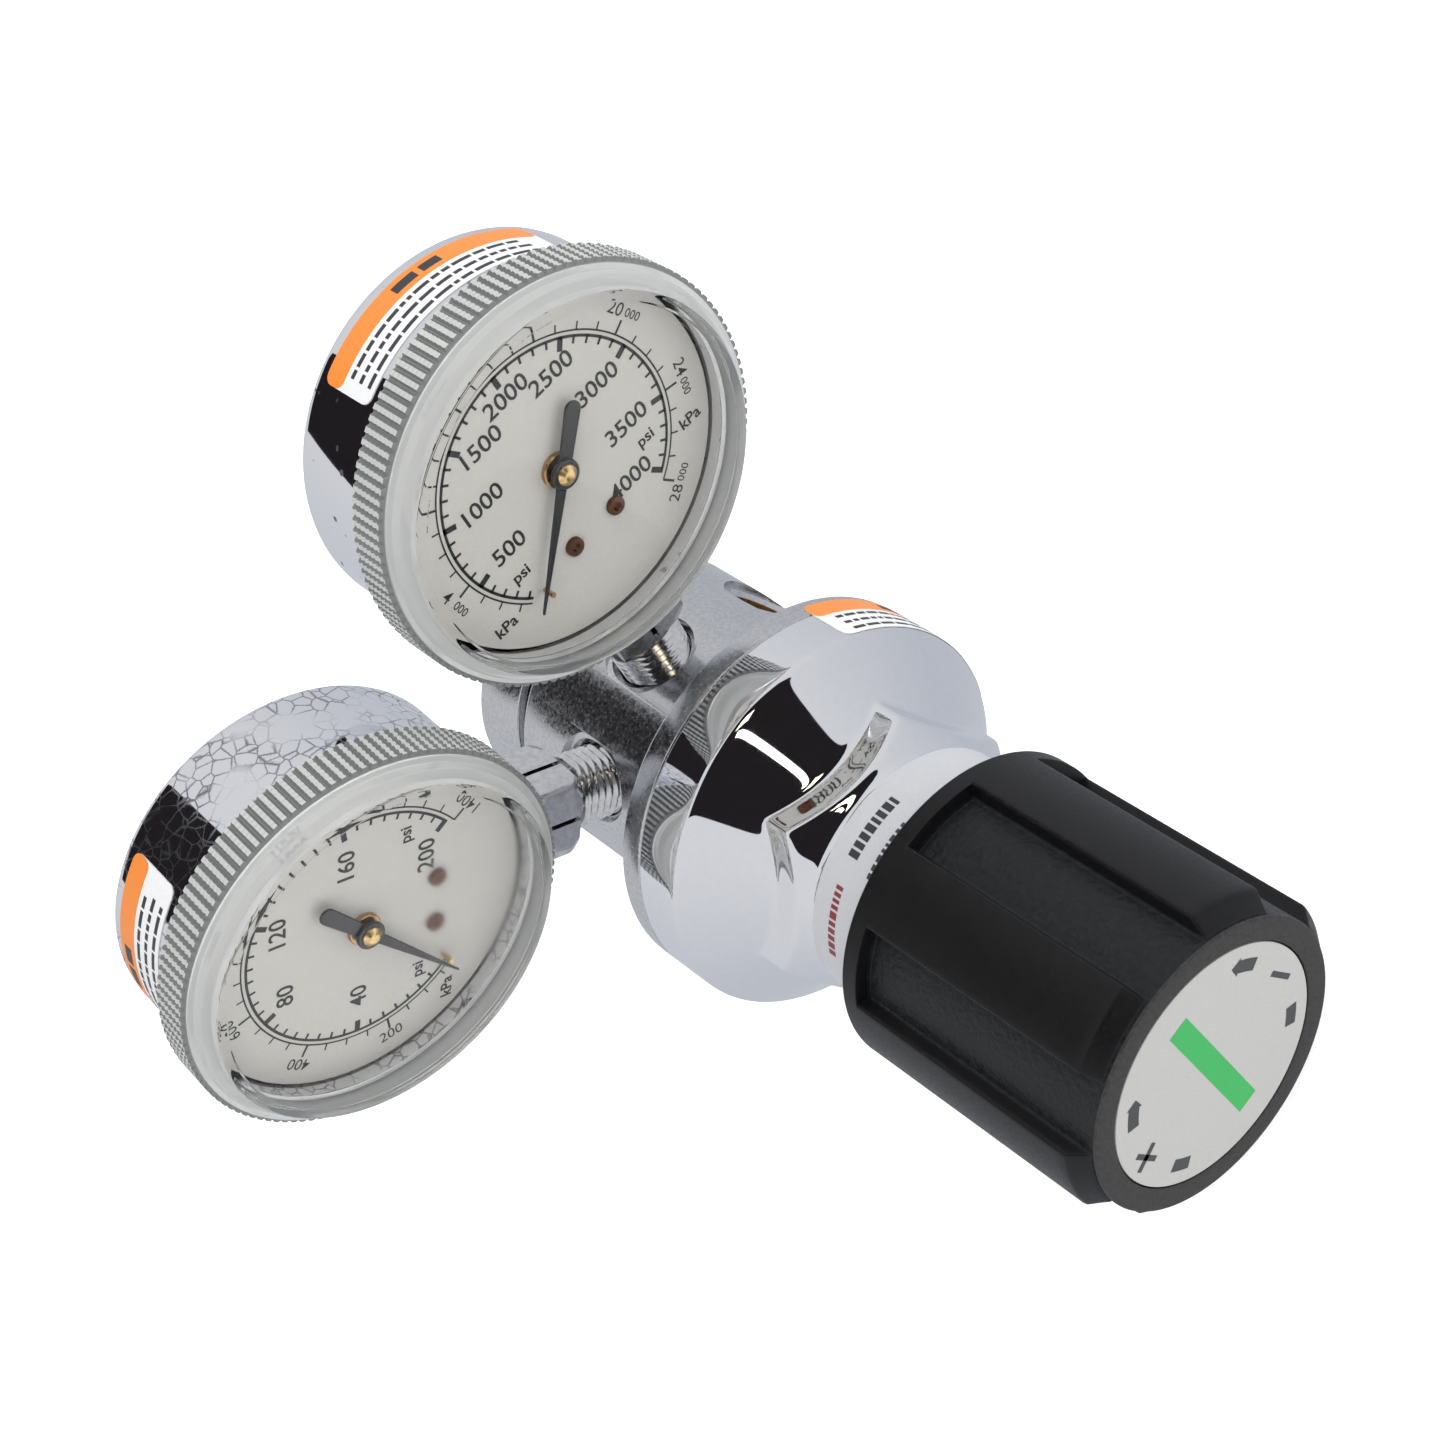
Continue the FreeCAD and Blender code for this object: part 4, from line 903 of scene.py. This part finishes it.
def make_print(key, place):
    """Scales of a dial: an inner psi scale and a thin outer kPa scale."""
    high = key == "high"
    full, major, minor = (4000, 500, 100) if high else (200, 40, 5)
    zero, span = GAUGES[key]["zero"], GAUGES[key]["span"]
    station = DIAL_FRONT + PRINT_LIFT

    def at(pressure):
        return zero - span * pressure / full

    bm = bmesh.new()
    arc_start = zero - 4.5
    arc_band(bm, *PSI_ARC, arc_start, at(full), station)
    for number in range(1, full // minor + 1):
        pressure = number * minor
        if pressure % major == 0:
            tick(bm, 19.0, PSI_ARC[1], 1.0, at(pressure), station)
        else:
            tick(bm, 19.9, PSI_ARC[1], 0.45, at(pressure), station)
    top, coarse, fine = (28000, 4000, 1000) if high else (1400, 200, 50)
    arc_band(bm, *KPA_ARC, arc_start, at(top / KPA_PER_PSI), station)
    for number in range(1, top // fine + 1):
        amount = number * fine
        if amount % coarse == 0:
            tick(bm, KPA_TICK_R, 24.4, 0.42, at(amount / KPA_PER_PSI), station)
        else:
            tick(bm, KPA_TICK_R, 23.4, 0.3, at(amount / KPA_PER_PSI), station)
    # numerals stand on an oval, so that the long ones stay clear of the ticks
    for pressure in range(major, full + 1, major):
        turn = math.radians(at(pressure))
        x = 13.7 * math.cos(turn) - 0.1
        z = 16.5 * math.sin(turn) + 0.4 * math.sin(turn) ** 5
        letters(bm, str(pressure), 4.3, x, z, 0.0, station, 0.055)
    outer = 25.7
    for amount in range(coarse, top + 1, coarse):
        turn = at(amount / KPA_PER_PSI)
        lower = turn % 360 > 180 and turn % 360 < 340
        lean = turn + 90 if lower else turn - 90
        for text, scale, shift in (((str(amount // 1000), 3.1, -2.0), ("000", 2.1, 1.6))
                                   if high else ((str(amount), 3.0, 0.0),)):
            way = math.radians(lean)
            x = outer * math.cos(math.radians(turn)) + shift * math.cos(way)
            z = outer * math.sin(math.radians(turn)) + shift * math.sin(way)
            letters(bm, text, scale, x, z, lean, station, 0.01)
    for text, scale, reach, pressure in (("psi", 3.0, 17.2, 0.055), ("psi", 3.0, 17.0, 0.935),
                                         ("kPa", 3.0, 26.0, 0.05), ("kPa", 3.0, 25.8, 0.93)):
        turn = math.radians(at(pressure * full))
        letters(bm, text, scale, reach * math.cos(turn), reach * math.sin(turn), 0.0, station,
                0.06)
    belongs(finish_mesh(bm, key + "_dial_print", dial_ink, place=place, smooth=False),
            "regulator", "dial_white")


def make_gauge(key):
    """All the visible pieces of one gauge."""
    place = gauge_place(key)
    make_case(key, place)
    make_window(key, place)
    make_stem(key, place)
    make_pointer(key, place)
    make_dial_screws(key, place)
    make_print(key, place)
    first = GAUGES[key]["sticker"] + 38.5
    make_sticker(key + "_case", key + "_sticker", CASE_R, 3.6, first, first - 77.0, place)


# ---- springs and diaphragms
def make_spring(node, wire, turns):
    """Coil that stands for a CAD spring."""
    low, high = (Vector(corner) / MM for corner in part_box(node))
    radius, middle = (high.x - low.x) / 2 - wire, (high + low) / 2
    first, last, sides = high.y - wire, low.y + wire, around(10)
    bm = bmesh.new()
    rings = []
    for turn in spread(0.0, 360.0 * turns, 12.0):
        t = math.radians(turn)
        out, height = Vector((math.cos(t), 0, math.sin(t))), turn / 360.0 / turns
        centre = Vector((middle.x, first + (last - first) * height, middle.z)) + out * radius
        rings.append([centre + wire * (out * math.cos(math.radians(side))
                                       + Vector((0, math.sin(math.radians(side)), 0)))
                      for side in sides])
    ends = sheet_of_rings(bm, rings)
    bm.faces.new(ends[0])
    bm.faces.new(ends[-1])
    made = belongs(finish_mesh(bm, node + "_coil", steel), "regulator", "spring_steel", node)
    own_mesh(made)


def make_diaphragm(node, plate_body, parting):
    """Diaphragm in two pieces: a clamped rim that stays and a middle that moves with its plate."""
    low, high = (Vector(corner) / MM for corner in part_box(node))
    rear, front, radius = -high.y, -low.y, high.x
    made = turned(node + "_rim", [(parting + 0.1, rear), (radius, rear), (radius, front),
                                  (parting + 0.1, front)], steel)
    belongs(made, "regulator", "spring_steel", node)
    made = turned(node + "_middle", [(0, rear), (parting, rear), (parting, front), (0, front)],
                  steel)
    belongs(made, plate_body, "spring_steel")


make_body()
make_bonnet()
make_knob()
make_knob_disc()
make_labels()
for gauge in GAUGES:
    make_gauge(gauge)
make_diaphragm("diaphragm", "diaphragm_plate", 20.4)
make_diaphragm("first_stage_diaphragm", "first_stage_plate", 12.0)
make_spring("range_spring", 1.75, 7)
make_spring("second_stage_poppet_spring", 0.35, 4)
make_spring("first_stage_poppet_spring", 0.35, 4)

# ---- carried-over CAD nodes
# a part of a name and its finish; the last one that fits a name wins, and the rest are brass
CARRIED = {
    "diaphragm": steel, "spring": steel, "adjusting_screw": steel, "thrust_ball": steel,
    "spring_button": steel, "bourdon_tube": bronze, "filter": bronze, "hairspring": bronze,
    "dial_plate": dial_paint,
}
for name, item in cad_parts.items():
    chosen = brass
    for part, finish in CARRIED.items():
        if part in name and name != "diaphragm_plate":
            chosen = finish
    for slot in item.material_slots:
        slot.material = chosen


# ---- stage
STAGE_CENTRE = Vector((0.0, -0.07, 0.02))
CARD_DARK = (0.012, 0.010, 0.011)
FLOOR_SIDE, FLOOR_GAP, FLOOR_GLOW = 6.0, 0.0002, 0.55
CAMERA_ANGLES = (14.516, 47.089, 76.576)      # azimuth, elevation and roll, degrees
CAMERA_PLACE = (0.084059, -0.347446, 0.346822)
CAMERA_LENS, CAMERA_SENSOR, CAMERA_CLIP = 67.977, 36.0, (0.01, 20.0)


def stage_plane(name, width, height, finish):
    """Flat rectangle round its own origin, in metres."""
    bm = bmesh.new()
    bm.faces.new([bm.verts.new((x * width / 2, y * height / 2, 0))
                  for x, y in ((-1, -1), (1, -1), (1, 1), (-1, 1))])
    mesh = bpy.data.meshes.new(name)
    bm.to_mesh(mesh)
    bm.free()
    mesh.materials.append(finish)
    plane = bpy.data.objects.new(name, mesh)
    bpy.context.scene.collection.objects.link(plane)
    return plane


def stage_card(name, way, far, width, height, colour, strength):
    """Flat card that faces the part and that only mirrors see; dark at a strength of 0."""
    finish = material(name, colour, 0.0, 0.9)
    shader = finish.node_tree.nodes["Principled BSDF"]
    shader.inputs["Specular IOR Level"].default_value = 0.0
    shader.inputs["Emission Color"].default_value = (*colour, 1.0)
    shader.inputs["Emission Strength"].default_value = strength
    card = stage_plane(name, width, height, finish)
    centre = STAGE_CENTRE + Vector(way).normalized() * far
    card.rotation_mode = "QUATERNION"
    card.location = centre
    card.rotation_quaternion = (STAGE_CENTRE - centre).to_track_quat("Z", "Y")
    card.visible_camera = False
    card.visible_diffuse = False
    card.visible_shadow = False


def make_stage():
    """Glowing floor, cards for the chrome to reflect, a grey sky and two lamps."""
    shader = floor_white.node_tree.nodes["Principled BSDF"]
    shader.inputs["Emission Color"].default_value = (1, 1, 1, 1)
    shader.inputs["Emission Strength"].default_value = FLOOR_GLOW
    floor = stage_plane("floor", FLOOR_SIDE, FLOOR_SIDE, floor_white)
    floor.location.z = CAD_BOX[0].z - FLOOR_GAP
    floor.visible_glossy = False

    stage_card("card_front", (0.20, -0.62, 0.76), 0.9, 1.2, 1.0, CARD_DARK, 0.0)
    stage_card("card_rear", (-0.22, 0.66, 0.68), 0.9, 0.6, 0.7, CARD_DARK, 0.0)
    stage_card("card_cream", (0.42, -0.60, 0.68), 0.8, 0.10, 0.16, (1.0, 0.86, 0.62), 2.6)
    stage_card("card_white", (0.30, -0.72, 0.55), 0.8, 0.05, 0.18, (1.0, 0.96, 0.9), 2.2)

    world = bpy.data.worlds.new("studio")
    world.use_nodes = True
    tree = world.node_tree
    where = tree.nodes.new("ShaderNodeTexCoord")
    split = tree.nodes.new("ShaderNodeSeparateXYZ")
    height = tree.nodes.new("ShaderNodeMapRange")
    height.inputs["From Min"].default_value = -1.0
    shade = tree.nodes.new("ShaderNodeValToRGB")
    for element, (place, grey) in zip(shade.color_ramp.elements, (
            (0.12, (0.55, 0.57, 0.62)), (0.75, (0.75, 0.755, 0.77)))):
        element.position = place
        element.color = (*grey, 1)
    tree.links.new(where.outputs["Generated"], split.inputs["Vector"])
    tree.links.new(split.outputs["Z"], height.inputs["Value"])
    tree.links.new(height.outputs["Result"], shade.inputs["Fac"])
    tree.links.new(shade.outputs["Color"], tree.nodes["Background"].inputs["Color"])
    bpy.context.scene.world = world
    for name, spot, size, power in (("key", (0.55, -0.25, 0.85), 0.7, 6.0),
                                    ("fill", (-0.7, -0.5, 0.6), 0.8, 2.0)):
        lamp = bpy.data.lights.new(name, "AREA")
        lamp.energy, lamp.size = power, size
        holder = bpy.data.objects.new(name, lamp)
        bpy.context.scene.collection.objects.link(holder)
        holder.location = spot
        holder.visible_glossy = False
        holder.rotation_mode = "QUATERNION"
        holder.rotation_quaternion = (STAGE_CENTRE - Vector(spot)).to_track_quat("-Z", "Y")


def make_camera():
    """Camera that frames the part from the front, above and rolled on its side."""
    azimuth, elevation, roll = map(math.radians, CAMERA_ANGLES)
    forward = Vector((-math.sin(azimuth) * math.cos(elevation),
                      math.cos(azimuth) * math.cos(elevation), -math.sin(elevation)))
    level = forward.cross(Vector((0, 0, 1))).normalized()
    up = level.cross(forward) * math.cos(roll) + level * math.sin(roll)
    right = forward.cross(up)
    lens = bpy.data.cameras.new("camera")
    lens.lens, lens.sensor_width = CAMERA_LENS, CAMERA_SENSOR
    lens.clip_start, lens.clip_end = CAMERA_CLIP
    camera = bpy.data.objects.new("camera", lens)
    turn = Matrix((right, up, -forward)).transposed().to_4x4()
    camera.matrix_world = Matrix.Translation(CAMERA_PLACE) @ turn
    bpy.context.scene.collection.objects.link(camera)
    bpy.context.scene.camera = camera


make_stage()
make_camera()
bpy.context.scene.view_settings.view_transform = "Standard"
